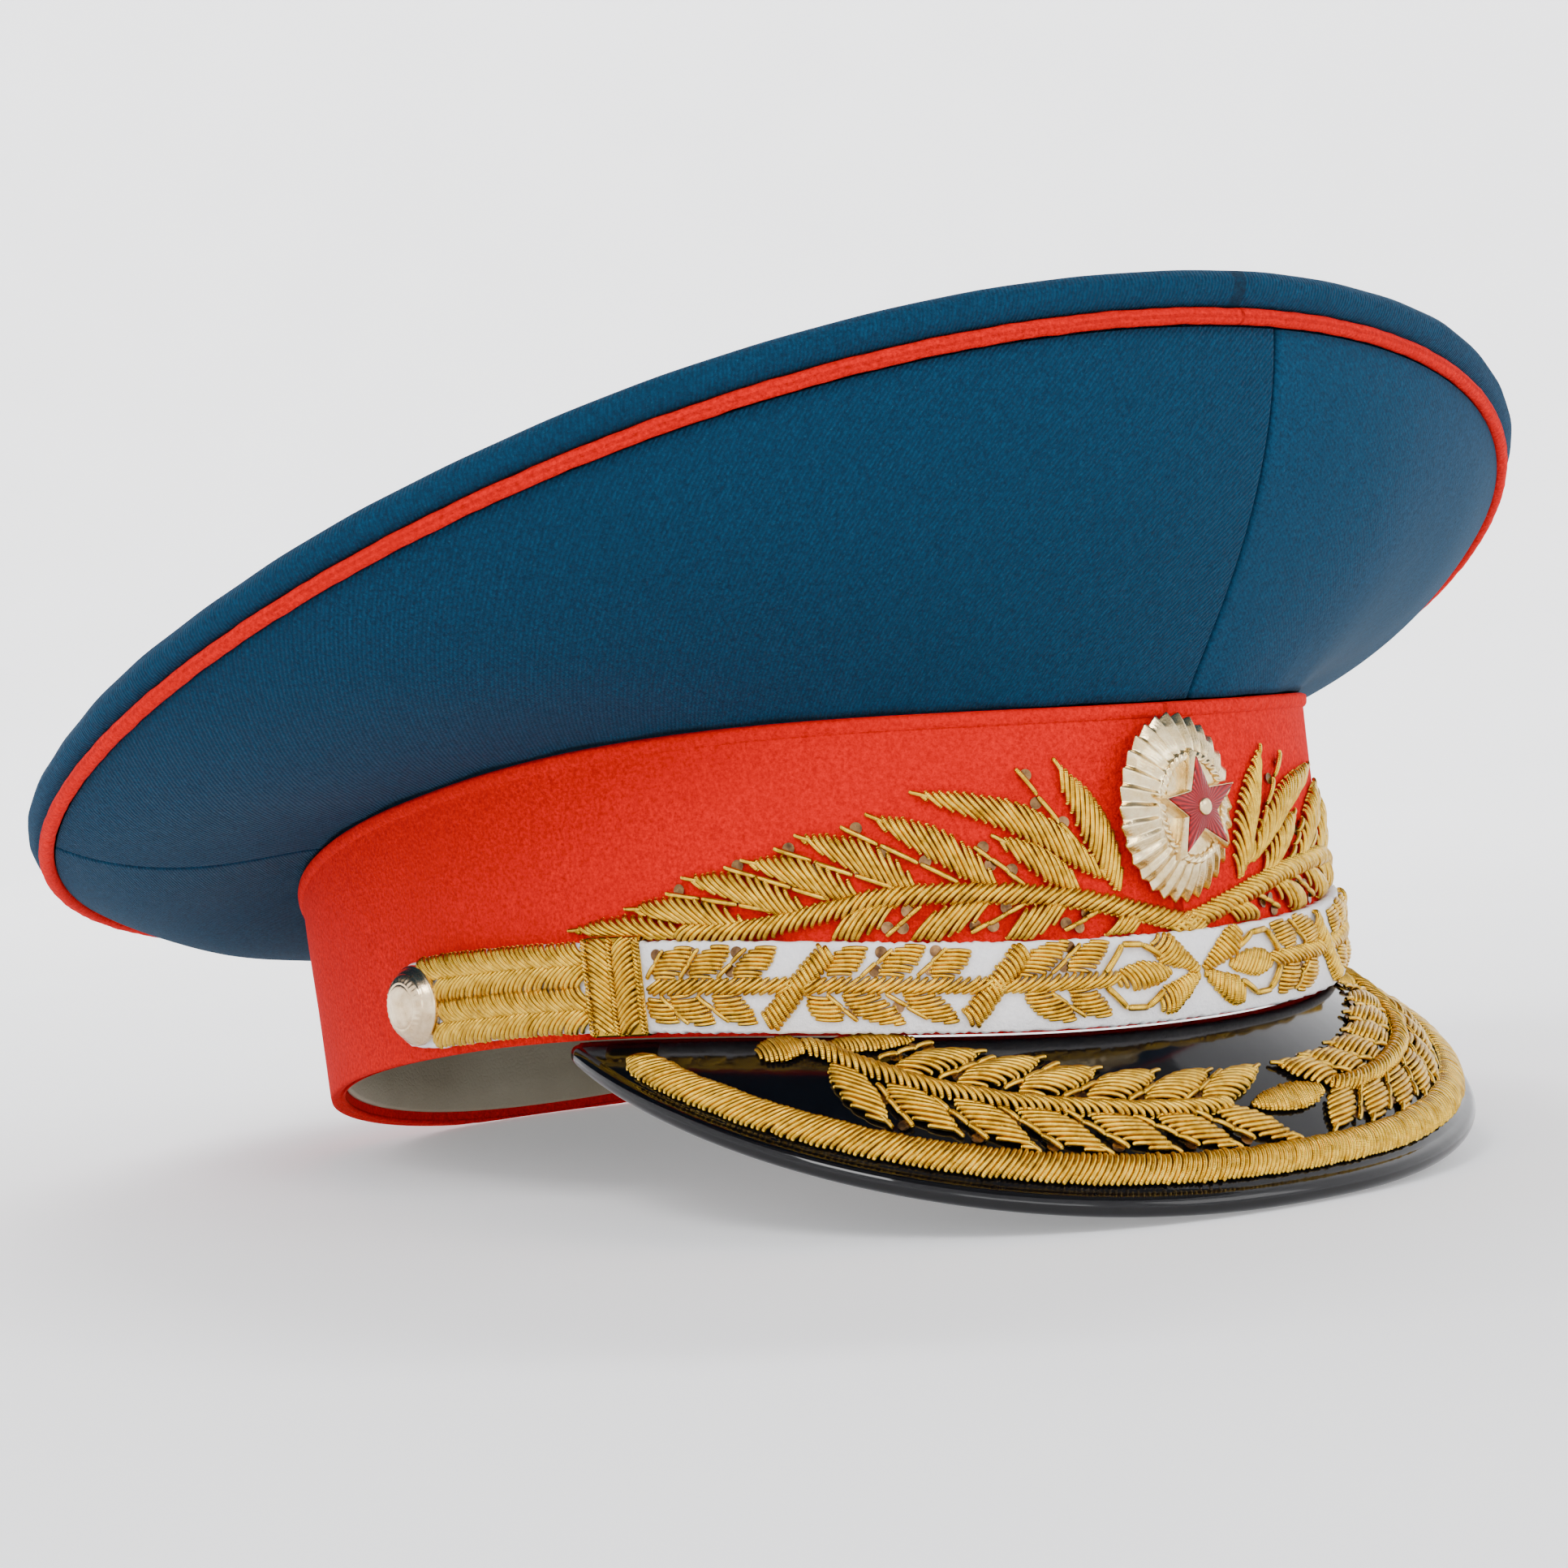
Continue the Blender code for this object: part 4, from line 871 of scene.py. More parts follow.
def sequins_by(chart, foot, tip, shares=(0.3, 0.62, 0.88)):
    """Centres and outward ways of the sequins caught down beside a twig."""
    drawn, at, out, ahead, side, reach = seam_line(chart, [foot, tip])
    found = []
    for index, share in enumerate(shares):
        run = np.array([share * reach[-1]])
        aside = (1 if index % 2 else -1) * SEQUIN_ASIDE
        outs = unit(along_line(out, reach, run))[0] + needle.uniform(-SEQUIN_TILT, SEQUIN_TILT, 3)
        point = along_line(at, reach, run)[0] + along_line(side, reach, run)[0] * aside
        found.append((point + outs * (PURL_SEAT + 0.0001), outs / np.linalg.norm(outs)))
    return found


border_share = BORDER_END * np.sin(np.linspace(-math.pi / 2, math.pi / 2, 61))
border_path = np.stack([border_share, visor_width(border_share) - BORDER_INSET], -1)
border_laid = laid_purl(on_visor, border_path, BORDER_HALF_WIDTH, (50, 88), 0.0014, strip_shape)
purl_piece("visor_border_purl", [border_laid], "visor_border")


# Sprays on the visor: two laurel branches in padded purl, root under the strap and tips
# meeting at the front; single bare twigs and small sequins lie between the leaves.
# share of the visor's half angle, then millimetres out from its root
VISOR_STEM = [(-0.645, 2.6), (-0.60, 4.6), (-0.57, 6.8), (-0.545, 8.4), (-0.51, 10.4), (-0.475, 12.4),
              (-0.44, 14.0), (-0.40, 15.4), (-0.365, 16.6), (-0.325, 17.5), (-0.25, 18.9), (-0.165, 20.1),
              (-0.095, 20.6), (-0.05, 20.4)]
# foot and tip of each leaf
VISOR_UPPER = [(-0.505, 9.2, -0.375, 5.0), (-0.42, 12.4, -0.29, 7.0), (-0.34, 14.6, -0.215, 10.2),
               (-0.25, 16.8, -0.13, 11.8), (-0.17, 18.4, -0.05, 13.0), (-0.085, 19.2, 0.018, 13.6)]
VISOR_LOWER = [(-0.59, 7.6, -0.52, 21.0), (-0.515, 12.4, -0.435, 23.0), (-0.43, 15.8, -0.345, 26.4),
               (-0.35, 18.0, -0.255, 27.7), (-0.255, 19.8, -0.165, 28.4), (-0.165, 20.9, -0.08, 28.7),
               (-0.08, 20.8, 0.005, 28.9)]
VISOR_TWIGS = [(-0.525, 6.4, -0.44, 2.6), (-0.445, 11.4, -0.355, 6.4), (-0.36, 14.0, -0.265, 8.4),
               (-0.285, 16.4, -0.195, 11.8), (-0.195, 17.9, -0.115, 13.4), (-0.115, 18.9, -0.03, 13.2),
               (-0.53, 12.6, -0.49, 22.0), (-0.46, 15.4, -0.40, 24.7), (-0.375, 17.8, -0.31, 26.9),
               (-0.295, 18.6, -0.225, 27.4), (-0.20, 21.0, -0.13, 28.0), (-0.115, 21.0, -0.05, 28.2)]
VISOR_ROOT_LEAF = (-0.61, 3.2, -0.465, 1.2)
VISOR_KNOB = (-0.705, 4.4, -0.625, 3.2)
FRONT_MEETING = 0.07
sequins = []


def visor_chart(mirror):
    """Chart of the visor in shares and millimetres; the far branch meets a little off centre."""
    def chart(share, out, off):
        placed = share if mirror > 0 else FRONT_MEETING - 0.9 * share
        return on_visor(placed, out / 1000, off)
    return chart


for side_name, mirror in (("right", 1), ("left", -1)):
    chart = visor_chart(mirror)
    laid = []
    for table, slant in ((VISOR_UPPER, -33), (VISOR_LOWER, 30)):
        for foot_share, foot_out, tip_share, tip_out in table:
            path = [(foot_share, foot_out), (tip_share, tip_out)]
            laid.append(laid_purl(chart, path, 0.0026, mirror * slant, 0.0013, tip=True))
    for foot_share, foot_out, tip_share, tip_out in VISOR_TWIGS:
        laid.append(twig(chart, (foot_share, foot_out), (tip_share, tip_out)))
        sequins += sequins_by(chart, (foot_share, foot_out), (tip_share, tip_out))
    laid.append(laid_purl(chart, VISOR_STEM, 0.0015, mirror * -40, 0.0014, strip_shape))
    laid.append(laid_purl(chart, [VISOR_ROOT_LEAF[:2], VISOR_ROOT_LEAF[2:]], 0.0021, mirror * -68, 0.0008,
                          radius=0.00036))
    laid.append(laid_purl(chart, [VISOR_KNOB[:2], VISOR_KNOB[2:]], 0.0033, mirror * -64, 0.0010,
                          radius=0.00036))
    if mirror < 0:
        laid.append(laid_purl(chart, [(-0.03, 20.4), (0.105, 21.4)], 0.0026, 76, 0.0010, tip=False))
    purl_piece("visor_spray_" + side_name + "_purl", laid, "visor_spray_" + side_name)


# Strap: a strip of thick white felt from button to button, its cut edges a little fuzzy,
# laid over the foot of the band.
STRAP_THICKNESS = 0.0024
STRAP_END_HEIGHT = 0.0165
STRAP_FRONT_HEIGHT = 0.0136
STRAP_LIFT = 0.0016
STRAP_HALF_ANGLE = math.radians(92)
STRAP_FRONT_DROP = 0.0013
STRAP_DROP_ANGLE = math.radians(74)


def strap_height(angle):
    share = np.minimum(np.abs(angle) / STRAP_HALF_ANGLE, 1.0)
    return STRAP_FRONT_HEIGHT + (STRAP_END_HEIGHT - STRAP_FRONT_HEIGHT) * share * share


def strap_low(angle):
    """Height of the strap's lower edge, which comes down to the visor at the front."""
    share = np.minimum(np.abs(angle) / STRAP_DROP_ANGLE, 1.0)
    return STRAP_LIFT - STRAP_FRONT_DROP * (1 - share ** 4)


def white_felt():
    """Thick white felt: matted fibres, faintly uneven in thickness and tone."""
    felt = Shader("white_felt", (0.86, 0.85, 0.87), 0.95)
    fibres = felt.noise(1500, 5, 0.75)
    mat = felt.noise(380, 4, 0.65)
    tone = felt.mix(felt.ramp(fibres, 0.3, 0.7), (0.80, 0.79, 0.82), (0.93, 0.92, 0.93))
    felt.set(felt.surface, Base_Color=tone, Sheen_Weight=0.3, Sheen_Roughness=0.6,
             Normal=felt.bump(fibres, 0.0003, 0.7, felt.bump(mat, 0.0008, 0.6)))
    return felt.material


WHITE_FELT = white_felt()
STRAP_COLUMNS = 420
strap_angles = STRAP_HALF_ANGLE * np.linspace(-1, 1, STRAP_COLUMNS)
end_share = (1 - np.abs(strap_angles) / STRAP_HALF_ANGLE) * STRAP_HALF_ANGLE * 0.0925 / 0.007
strap_end = 0.72 + 0.28 * np.sqrt(np.clip(1 - (1 - np.clip(end_share, 0, 1)) ** 2, 0, 1))
cut = 0.00009 * (np.sin(strap_angles * 310) + np.sin(strap_angles * 523 + 1) + np.sin(strap_angles * 97))
strap_top = STRAP_LIFT + strap_height(strap_angles)
strap_half = (strap_top - strap_low(strap_angles)) / 2 * strap_end
strap_middle = (strap_top + strap_low(strap_angles)) / 2
# across: share of half the height; off: share of the thickness
STRAP_PROFILE = [(-1.0, 0.0), (-1.0, 0.55), (-0.985, 0.85), (-0.94, 1.0), (-0.5, 1.0), (0.0, 1.0),
                 (0.5, 1.0), (0.94, 1.0), (0.985, 0.85), (1.0, 0.55), (1.0, 0.0)]
strap_sections = []
for across, off in STRAP_PROFILE:
    wobble = cut * math.copysign(1, across) * (abs(across) > 0.9)
    strap_sections.append(on_band(strap_angles, strap_middle + across * strap_half + wobble,
                                  GAP + off * STRAP_THICKNESS + 0 * strap_angles))
strap = loop_shell("strap_felt", np.stack(strap_sections, axis=1), WHITE_FELT, closed=False)
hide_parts("strap")


# Runs on the strap: a rope-like stem with leaves above and below, tied by slanting bars
# and ending at the front in a four-lobed bow, all in purl over the felt.
# millimetres round the band, then share of the strap's height from below
STRAP_STEM = [(-97.0, 0.47), (-76, 0.48), (-60, 0.49), (-40, 0.48), (-17, 0.49)]
STRAP_UPPER = [(-95.4, 0.57, -88.3, 0.93), (-88.8, 0.57, -81.6, 0.95), (-81.1, 0.57, -73.8, 0.94),
               (-65.8, 0.60, -59.2, 0.96), (-57.5, 0.60, -50.0, 0.96), (-49.5, 0.58, -42.6, 0.93),
               (-35.6, 0.58, -26.3, 0.97), (-26.6, 0.61, -18.8, 0.97)]
STRAP_LOWER = [(-97.0, 0.36, -92.0, 0.05), (-92.9, 0.38, -85.4, 0.03), (-85.3, 0.38, -78.3, 0.05),
               (-69.3, 0.37, -64.2, 0.05), (-63.7, 0.38, -54.4, 0.05), (-54.0, 0.39, -45.7, 0.06),
               (-34.5, 0.37, -26.2, 0.03), (-26.8, 0.38, -19.6, 0.06)]
STRAP_TWIGS = [(-96.7, 0.57, -93.2, 0.90), (-90.8, 0.57, -86.9, 0.92), (-84.2, 0.57, -78.6, 0.92),
               (-60.6, 0.58, -55.2, 0.93), (-51.8, 0.60, -46.6, 0.93), (-29.8, 0.60, -24.2, 0.95),
               (-94.6, 0.38, -89.9, 0.05), (-88.0, 0.38, -82.7, 0.07), (-66.3, 0.38, -61.7, 0.07),
               (-57.0, 0.38, -50.6, 0.09), (-30.4, 0.36, -24.4, 0.05)]
STRAP_HOOPS = [(-20.2, 0.57, -16.6, 0.90), (-16.6, 0.90, -12.6, 0.88), (-12.6, 0.88, -9.0, 0.72),
               (-20.2, 0.40, -16.6, 0.12), (-16.6, 0.12, -12.6, 0.11), (-12.6, 0.11, -9.0, 0.30)]
STRAP_BARS = [(-76.5, 0.03, -65.3, 0.91), (-44.4, 0.03, -33.9, 0.91)]
STRAP_LOBES = [(-10.4, 0.93, -0.4, 0.50), (-9.9, 0.07, -0.4, 0.47)]
STRAP_OVAL = [(-18.5, 0.48), (-6.6, 0.52)]


def lobe_shape(share):
    """Broad and round at its start, drawn in to a point at its end."""
    share = np.clip(share, 0, 1)
    return np.minimum(share / 0.25, 1.0) ** 0.5 * (1 - share) ** 0.6


def strap_chart(mirror):
    def chart(arc, share, off):
        angle = angle_at(mirror * arc / 1000)
        height = STRAP_LIFT + share * strap_height(angle)
        return on_band(angle, height, GAP + STRAP_THICKNESS - PURL_SEAT + off)
    return chart


for side_name, mirror in (("right", 1), ("left", -1)):
    chart = strap_chart(mirror)
    laid = []
    for table, slant in ((STRAP_UPPER, -38), (STRAP_LOWER, 36)):
        for foot_arc, foot_share, tip_arc, tip_share in table:
            path = [(foot_arc, foot_share), (tip_arc, tip_share)]
            laid.append(laid_purl(chart, path, 0.0022, mirror * slant, 0.0010, radius=0.00038))
    for row in STRAP_TWIGS:
        laid.append(twig(chart, row[:2], row[2:], lengths=2, radius=0.00042))
    for row in STRAP_HOOPS:
        laid.append(twig(chart, row[:2], row[2:], lengths=1, radius=0.00062))
    for row in STRAP_TWIGS:
        sequins += sequins_by(chart, row[:2], row[2:], (0.35, 0.75))
    laid.append(laid_purl(chart, STRAP_STEM, 0.0013, mirror * 32, 0.0010, strip_shape, radius=0.0004))
    for row in STRAP_BARS:
        laid.append(laid_purl(chart, [row[:2], row[2:]], 0.0019, mirror * 70, 0.0012, strip_shape))
    laid.append(laid_purl(chart, STRAP_OVAL, 0.0023, mirror * -58, 0.0008))
    for row in STRAP_LOBES:
        laid.append(laid_purl(chart, [row[:2], row[2:]], 0.0030, mirror * 72, 0.0012, lobe_shape))
    purl_piece("strap_spray_" + side_name + "_purl", laid, "strap_spray_" + side_name)


# Strap ends: four rows of purl in chevrons that cover the felt from keeper to button.
KEEPER_PLACE = 0.103
KEEPER_LENGTH = 0.0105
BUTTON_ANGLE = math.radians(89.8)
BUTTON_RADIUS = 0.0073
button_arc = float(arc_at(np.array(BUTTON_ANGLE))) * 1000
# share of the strap's height of each row's middle, slant, how far it runs past the button's edge
CHEVRON_ROWS = [(0.875, -46, 5.0), (0.625, 46, 0.5), (0.375, -46, 0.0), (0.125, 46, 2.5)]
for side_name, mirror in (("right", 1), ("left", -1)):
    chart = strap_chart(mirror)
    laid = []
    for share, slant, past in CHEVRON_ROWS:
        near = (KEEPER_PLACE + KEEPER_LENGTH / 2) * 1000 + 0.2
        far = button_arc - BUTTON_RADIUS * 1000 + 0.6 + past
        laid.append(laid_purl(chart, [(-near, share), (-far, share)], 0.0020, mirror * slant, 0.0009,
                              strip_shape, radius=0.00046))
    paths, ups, radii = (np.concatenate(part) for part in zip(*laid))
    points, quads, triangles, place = tubes(paths, ups, radii)
    chevrons = piece("strap_end_purl_" + side_name, points, quads, triangles, GOLD_PURL, place)


# Keepers: two stiff loops round the strap, covered with two columns of slanting purl
# between three fine twisted cords.
KEEPER_WALL = 0.0008
KEEPER_COLUMNS = [(-105.4, 52), (-100.5, -52)]
KEEPER_CORDS = [-108.0, -102.95, -97.95]


def keeper_chart(mirror):
    def chart(arc, share, off):
        angle = angle_at(mirror * arc / 1000)
        low, high = STRAP_LIFT - KEEPER_WALL, STRAP_LIFT + strap_height(angle) + KEEPER_WALL
        return on_band(angle, low + share * (high - low), 2 * GAP + STRAP_THICKNESS + 0.0001 + off)
    return chart


for side_name, mirror in (("right", 1), ("left", -1)):
    chart = keeper_chart(mirror)
    laid = []
    for arc, slant in KEEPER_COLUMNS:
        laid.append(laid_purl(chart, [(arc, 0.01), (arc, 0.99)], 0.0022, mirror * slant, 0.0007,
                              strip_shape, radius=0.00042))
    for arc in KEEPER_CORDS:
        laid.append(laid_purl(chart, [(arc, 0.0), (arc, 1.0)], 0.00042, mirror * 40, 0.0009, strip_shape,
                              radius=0.00024))
    purl_piece("keeper_" + side_name + "_purl", laid, "keeper_" + side_name)
    arcs = np.linspace(KEEPER_PLACE - KEEPER_LENGTH / 2, KEEPER_PLACE + KEEPER_LENGTH / 2, 9)
    arcs = angle_at(-mirror * arcs)
    low = STRAP_LIFT - GAP + 0 * arcs
    high = STRAP_LIFT + strap_height(arcs) + GAP
    face = 2 * GAP + STRAP_THICKNESS
    # height, off: the loop's section, outside from below to above and back inside
    LOOP = [(low - KEEPER_WALL, GAP), (low - KEEPER_WALL, face), (low - 0.5 * KEEPER_WALL, face + 0.0004),
            (high + 0.5 * KEEPER_WALL, face + 0.0004), (high + KEEPER_WALL, face),
            (high + KEEPER_WALL, GAP), (high, GAP), (high, face - 0.0001), (low, face - 0.0001), (low, GAP)]
    loop = loop_shell("keeper_" + side_name + "_loop",
                      np.stack([on_band(arcs, height, off + 0 * arcs) for height, off in LOOP], axis=1),
                      GOLD_PURL, closed=False)
    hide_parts("keeper_" + side_name)


# Sprays on the band: a laurel branch on each side of the cockade in the same padded purl;
# the two stems cross below it and run out along the strap, which hides the lower tips.
# millimetres round the band, then millimetres above its rim
BAND_STEM = [(4.5, 15.9), (-2.2, 17.0), (-11.1, 19.4), (-19.5, 21.4), (-27.3, 22.8), (-34.7, 23.4),
             (-41.9, 23.6), (-49.0, 23.5), (-56.0, 22.9), (-63.1, 21.3), (-70.4, 19.4), (-78.0, 17.9),
             (-86.0, 17.5), (-92.0, 17.6)]
# foot, tip, half width in millimetres, bow of its middle in millimetres
BAND_UPPER = [(-14.1, 23.0, -24.2, 44.9, 2.9, 1.0), (-16.7, 25.4, -48.8, 40.4, 2.6, 3.0),
              (-22.0, 23.5, -36.0, 32.7, 2.3, 0.6), (-36.7, 24.6, -56.4, 36.6, 2.6, 1.2),
              (-50.0, 24.2, -68.3, 33.3, 2.6, 1.2), (-59.5, 22.8, -77.7, 29.4, 2.5, 1.1),
              (-68.2, 20.4, -88.5, 26.8, 2.5, 1.1), (-78.5, 18.4, -99.9, 22.1, 2.3, 1.2),
              (-89.0, 17.6, -112.1, 19.1, 1.8, 0.8)]
BAND_LOWER = [(-53.9, 22.2, -67.6, 14.7, 2.3, 0.0), (-38.2, 22.2, -56.1, 14.6, 2.3, 0.0),
              (-24.4, 21.4, -41.4, 14.0, 2.3, 0.0), (-9.8, 18.2, -26.4, 13.4, 2.3, 0.0)]
BAND_TWIGS = [(-73.5, 21.0, -92.9, 24.5), (-65.0, 23.0, -81.9, 28.6), (-53.7, 24.6, -73.2, 31.5),
              (-43.2, 25.4, -61.8, 35.2), (-32.0, 24.8, -40.1, 31.4), (-21.2, 30.3, -31.9, 44.4),
              (-49.9, 21.6, -55.9, 16.8), (-32.4, 21.8, -42.0, 16.9), (-19.0, 19.8, -25.6, 16.9)]


def band_chart(mirror):
    def chart(arc, height, off):
        return on_band(angle_at(mirror * arc / 1000), height / 1000, off)
    return chart


def over_strap(arc, height):
    top = STRAP_LIFT + strap_height(angle_at(np.abs(arc) / 1000))
    return height > top * 1000 + 0.5


for side_name, mirror in (("right", 1), ("left", -1)):
    chart = band_chart(mirror)
    laid = []
    for table, slant in ((BAND_UPPER, -32), (BAND_LOWER, 27)):
        for foot_arc, foot_height, tip_arc, tip_height, half, bow in table:
            heading = unit(np.array([tip_arc - foot_arc, tip_height - foot_height]))
            middle = ((foot_arc + tip_arc) / 2 + heading[1] * bow,
                      (foot_height + tip_height) / 2 - heading[0] * bow)
            path = [(foot_arc, foot_height), middle, (tip_arc, tip_height)]
            laid.append(laid_purl(chart, path, half / 1000, mirror * slant, 0.0014, within=over_strap,
                                  tip=tip_height > 18))
    for row in BAND_TWIGS:
        laid.append(twig(chart, row[:2], row[2:]))
        sequins += sequins_by(chart, row[:2], row[2:])
    laid.append(laid_purl(chart, BAND_STEM, 0.0016, mirror * 40, 0.0015, strip_shape))
    purl_piece("band_spray_" + side_name + "_purl", laid, "band_spray_" + side_name)


# Sequins: small round spangles of bronzed foil, each caught down beside a twig.
SEQUIN_RADIUS = 0.00105
SEQUIN_THICKNESS = 0.00012
SEQUIN_SIDES = 18


def bronzed_foil():
    foil = Shader("sequin_foil", (0.18, 0.09, 0.035), 0.24, 0.9)
    film = foil.noise(700, 2, 0.5)
    tone = foil.mix(foil.ramp(film, 0.3, 0.7), (0.08, 0.038, 0.018), (0.26, 0.14, 0.055))
    foil.set(foil.surface, Base_Color=tone, Roughness=foil.ramp(film, 0.3, 0.7, 0.18, 0.32))
    return foil.material


ring_turn = np.linspace(0, 2 * math.pi, SEQUIN_SIDES, endpoint=False)
points, triangles, quads = [], [], []
for centre, out in sequins:
    flat = unit(np.cross(out, np.array([0.3, 0.2, 0.9])))
    other = np.cross(out, flat)
    base = len(points)
    for rise in (0.0, SEQUIN_THICKNESS):
        for turn in ring_turn:
            spoke = math.cos(turn) * flat + math.sin(turn) * other
            points.append(centre + out * rise + SEQUIN_RADIUS * spoke)
    points += [centre, centre + out * SEQUIN_THICKNESS / 2]
    for j in range(SEQUIN_SIDES):
        k = (j + 1) % SEQUIN_SIDES
        quads.append((base + j, base + k, base + SEQUIN_SIDES + k, base + SEQUIN_SIDES + j))
        triangles.append((base + 2 * SEQUIN_SIDES, base + k, base + j))
        triangles.append((base + 2 * SEQUIN_SIDES + 1, base + SEQUIN_SIDES + j, base + SEQUIN_SIDES + k))
sequin_piece = piece("sequins", np.array(points), quads, triangles, bronzed_foil())
sequin_piece.data.set_sharp_from_angle(angle=math.radians(30))


# Buttons: stamped shells of pale gilt brass with a rolled rim, a ring of fine strokes and a
# plain domed middle, sewn through the strap's ends.
BUTTON_HEIGHT = 0.0046
BUTTON_COLUMNS = 120


def badge_frame(angle, height, off, lean=0.0, yaw=0.0, turn=0.0):
    """Axes of a badge on the band: its place, then the ways across, up and out."""
    angle, height = np.array(float(angle)), np.array(float(height))
    out = normals_of(band_wall, angle, height)
    across = unit(rim(angle + 1e-4) - rim(angle - 1e-4))
    up = unit(np.cross(out, across))
    out, up = (out * math.cos(lean) - up * math.sin(lean),
               up * math.cos(lean) + out * math.sin(lean))
    out, across = (out * math.cos(yaw) + across * math.sin(yaw),
                   across * math.cos(yaw) - out * math.sin(yaw))
    across, up = (across * math.cos(turn) + up * math.sin(turn),
                  up * math.cos(turn) - across * math.sin(turn))
    return on_band(angle, height, off), across, up, out


def turned(name, rows, poles, finish, face_map=None):
    """Skins closed rings from below to above, each end closed on its pole."""
    count, sides = rows.shape[:2]
    j = np.arange(sides)
    k = (j + 1) % sides
    last, pole = (count - 1) * sides, count * sides
    triangles = np.concatenate([np.stack([np.full(sides, pole), k, j], -1),
                                np.stack([np.full(sides, pole + 1), last + j, last + k], -1)])
    points = np.concatenate([rows.reshape(-1, 3), poles])
    quads = grid_quads(count, sides, round_columns=True)[:, ::-1]
    return piece(name, points, quads, triangles, finish, face_map)


def pale_gilt(name, colour, bright, dark, roughness):
    """Thin gilding over stamped brass, brighter on the crests, with faint rubbed patches."""
    gilt = Shader(name, colour, roughness, 1.0)
    wear = gilt.noise(420, 4, 0.6)
    grit = gilt.noise(2600, 3, 0.6)
    tone = gilt.mix(gilt.ramp(wear, 0.3, 0.72), bright, dark)
    gilt.set(gilt.surface, Base_Color=tone,
             Roughness=gilt.ramp(wear, 0.3, 0.75, roughness * 0.7, roughness * 1.3),
             Normal=gilt.bump(grit, 0.00008, 0.35))
    return gilt.material


BUTTON_GILT = pale_gilt("button_gilt", (0.82, 0.63, 0.38), (0.90, 0.72, 0.47), (0.64, 0.45, 0.25), 0.24)
# radius and height as shares of the button's own
BUTTON_PROFILE = [(0.90, 0.0), (0.985, 0.02), (1.0, 0.10), (0.995, 0.20), (0.975, 0.27), (0.955, 0.29),
                  (0.93, 0.34), (0.86, 0.48), (0.80, 0.575), (0.785, 0.62), (0.74, 0.68), (0.64, 0.775),
                  (0.58, 0.82), (0.56, 0.80), (0.54, 0.83), (0.42, 0.90), (0.25, 0.965), (0.10, 0.995)]
for side_name, sign in (("right", -1), ("left", 1)):
    height = STRAP_LIFT + float(strap_height(np.array(BUTTON_ANGLE))) / 2
    place, across, up, out = badge_frame(sign * BUTTON_ANGLE, height, 2 * GAP + STRAP_THICKNESS)
    profile = smooth_run(BUTTON_PROFILE, 64)
    turn = np.linspace(0, 2 * math.pi, BUTTON_COLUMNS, endpoint=False)
    radius, rise = profile[:, :1], profile[:, 1:]
    strokes = np.exp(-((radius - 0.69) / 0.06) ** 2) * 0.00010 * np.sin(turn * 30)
    spokes = np.cos(turn)[:, None] * across + np.sin(turn)[:, None] * up
    ring = (place + out * (rise * BUTTON_HEIGHT + strokes)[..., None]
            + (radius * BUTTON_RADIUS)[..., None] * spokes)
    poles = [place, place + out * BUTTON_HEIGHT]
    button = turned("button_" + side_name + "_shell", ring, poles, BUTTON_GILT)
    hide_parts("button_" + side_name)


# Cockade: a stamped oval of pleated rays in pale gilt with a twisted oval rim round its
# middle, held to the band by prongs; it leans out a little over the welt.
ROSETTE_HALF_WIDTH = 0.0143
ROSETTE_HALF_HEIGHT = 0.0166
ROSETTE_DOME = 0.0052
ROSETTE_FOOT = 0.0200
ROSETTE_RAYS = 30
ROSETTE_LEAN = math.radians(3.0)
COCKADE_YAW = math.radians(4.0)
COCKADE_TURN = math.radians(6.0)
foot, across, up, out = badge_frame(0.0, ROSETTE_FOOT, GAP, ROSETTE_LEAN, COCKADE_YAW, COCKADE_TURN)
centre = foot + up * ROSETTE_HALF_HEIGHT + out * GAP


def on_cockade(turn, radius, rise):
    """Points over the cockade: turn from its right, share of the oval, rise in metres."""
    x = (np.cos(turn) * radius * ROSETTE_HALF_WIDTH)[..., None]
    y = (np.sin(turn) * radius * ROSETTE_HALF_HEIGHT)[..., None]
    return centre + across * x + up * y + out * np.asarray(rise)[..., None]


ROSETTE_GILT = pale_gilt("rosette_gilt", (0.86, 0.68, 0.36), (0.95, 0.80, 0.50), (0.66, 0.46, 0.19), 0.24)
RAY_COLUMNS = 14
# radius and rise as shares, then the pleat's and the rope's share there
ROSETTE_PROFILE = [(0.0, 0.90, 0, 0), (0.30, 0.89, 0, 0), (0.44, 0.86, 0, 0), (0.475, 0.86, 0, 0.1),
                   (0.50, 0.93, 0, 0.8), (0.53, 0.98, 0, 1.0), (0.56, 0.95, 0, 0.8),
                   (0.585, 0.86, 0.1, 0.1), (0.62, 0.80, 0.7, 0), (0.70, 0.70, 1.0, 0),
                   (0.80, 0.53, 1.0, 0), (0.90, 0.34, 0.9, 0), (0.97, 0.19, 0.8, 0),
                   (1.0, 0.11, 0.7, 0)]
profile = smooth_run(ROSETTE_PROFILE, 70)[1:]
turn = np.linspace(0, 2 * math.pi, ROSETTE_RAYS * RAY_COLUMNS, endpoint=False)
phase = (turn * ROSETTE_RAYS / (2 * math.pi)) % 1.0
pleat = np.where(phase < 0.32, phase / 0.32, (1 - phase) / 0.68)
notch = 0.075 * (1 - pleat)
radius = profile[:, :1] - notch * np.clip((profile[:, :1] - 0.86) / 0.14, 0, 1)
grain = 0.00007 * np.sin(phase * 2 * math.pi * 5) * np.sin(profile[:, :1] * 240) * (phase > 0.35)
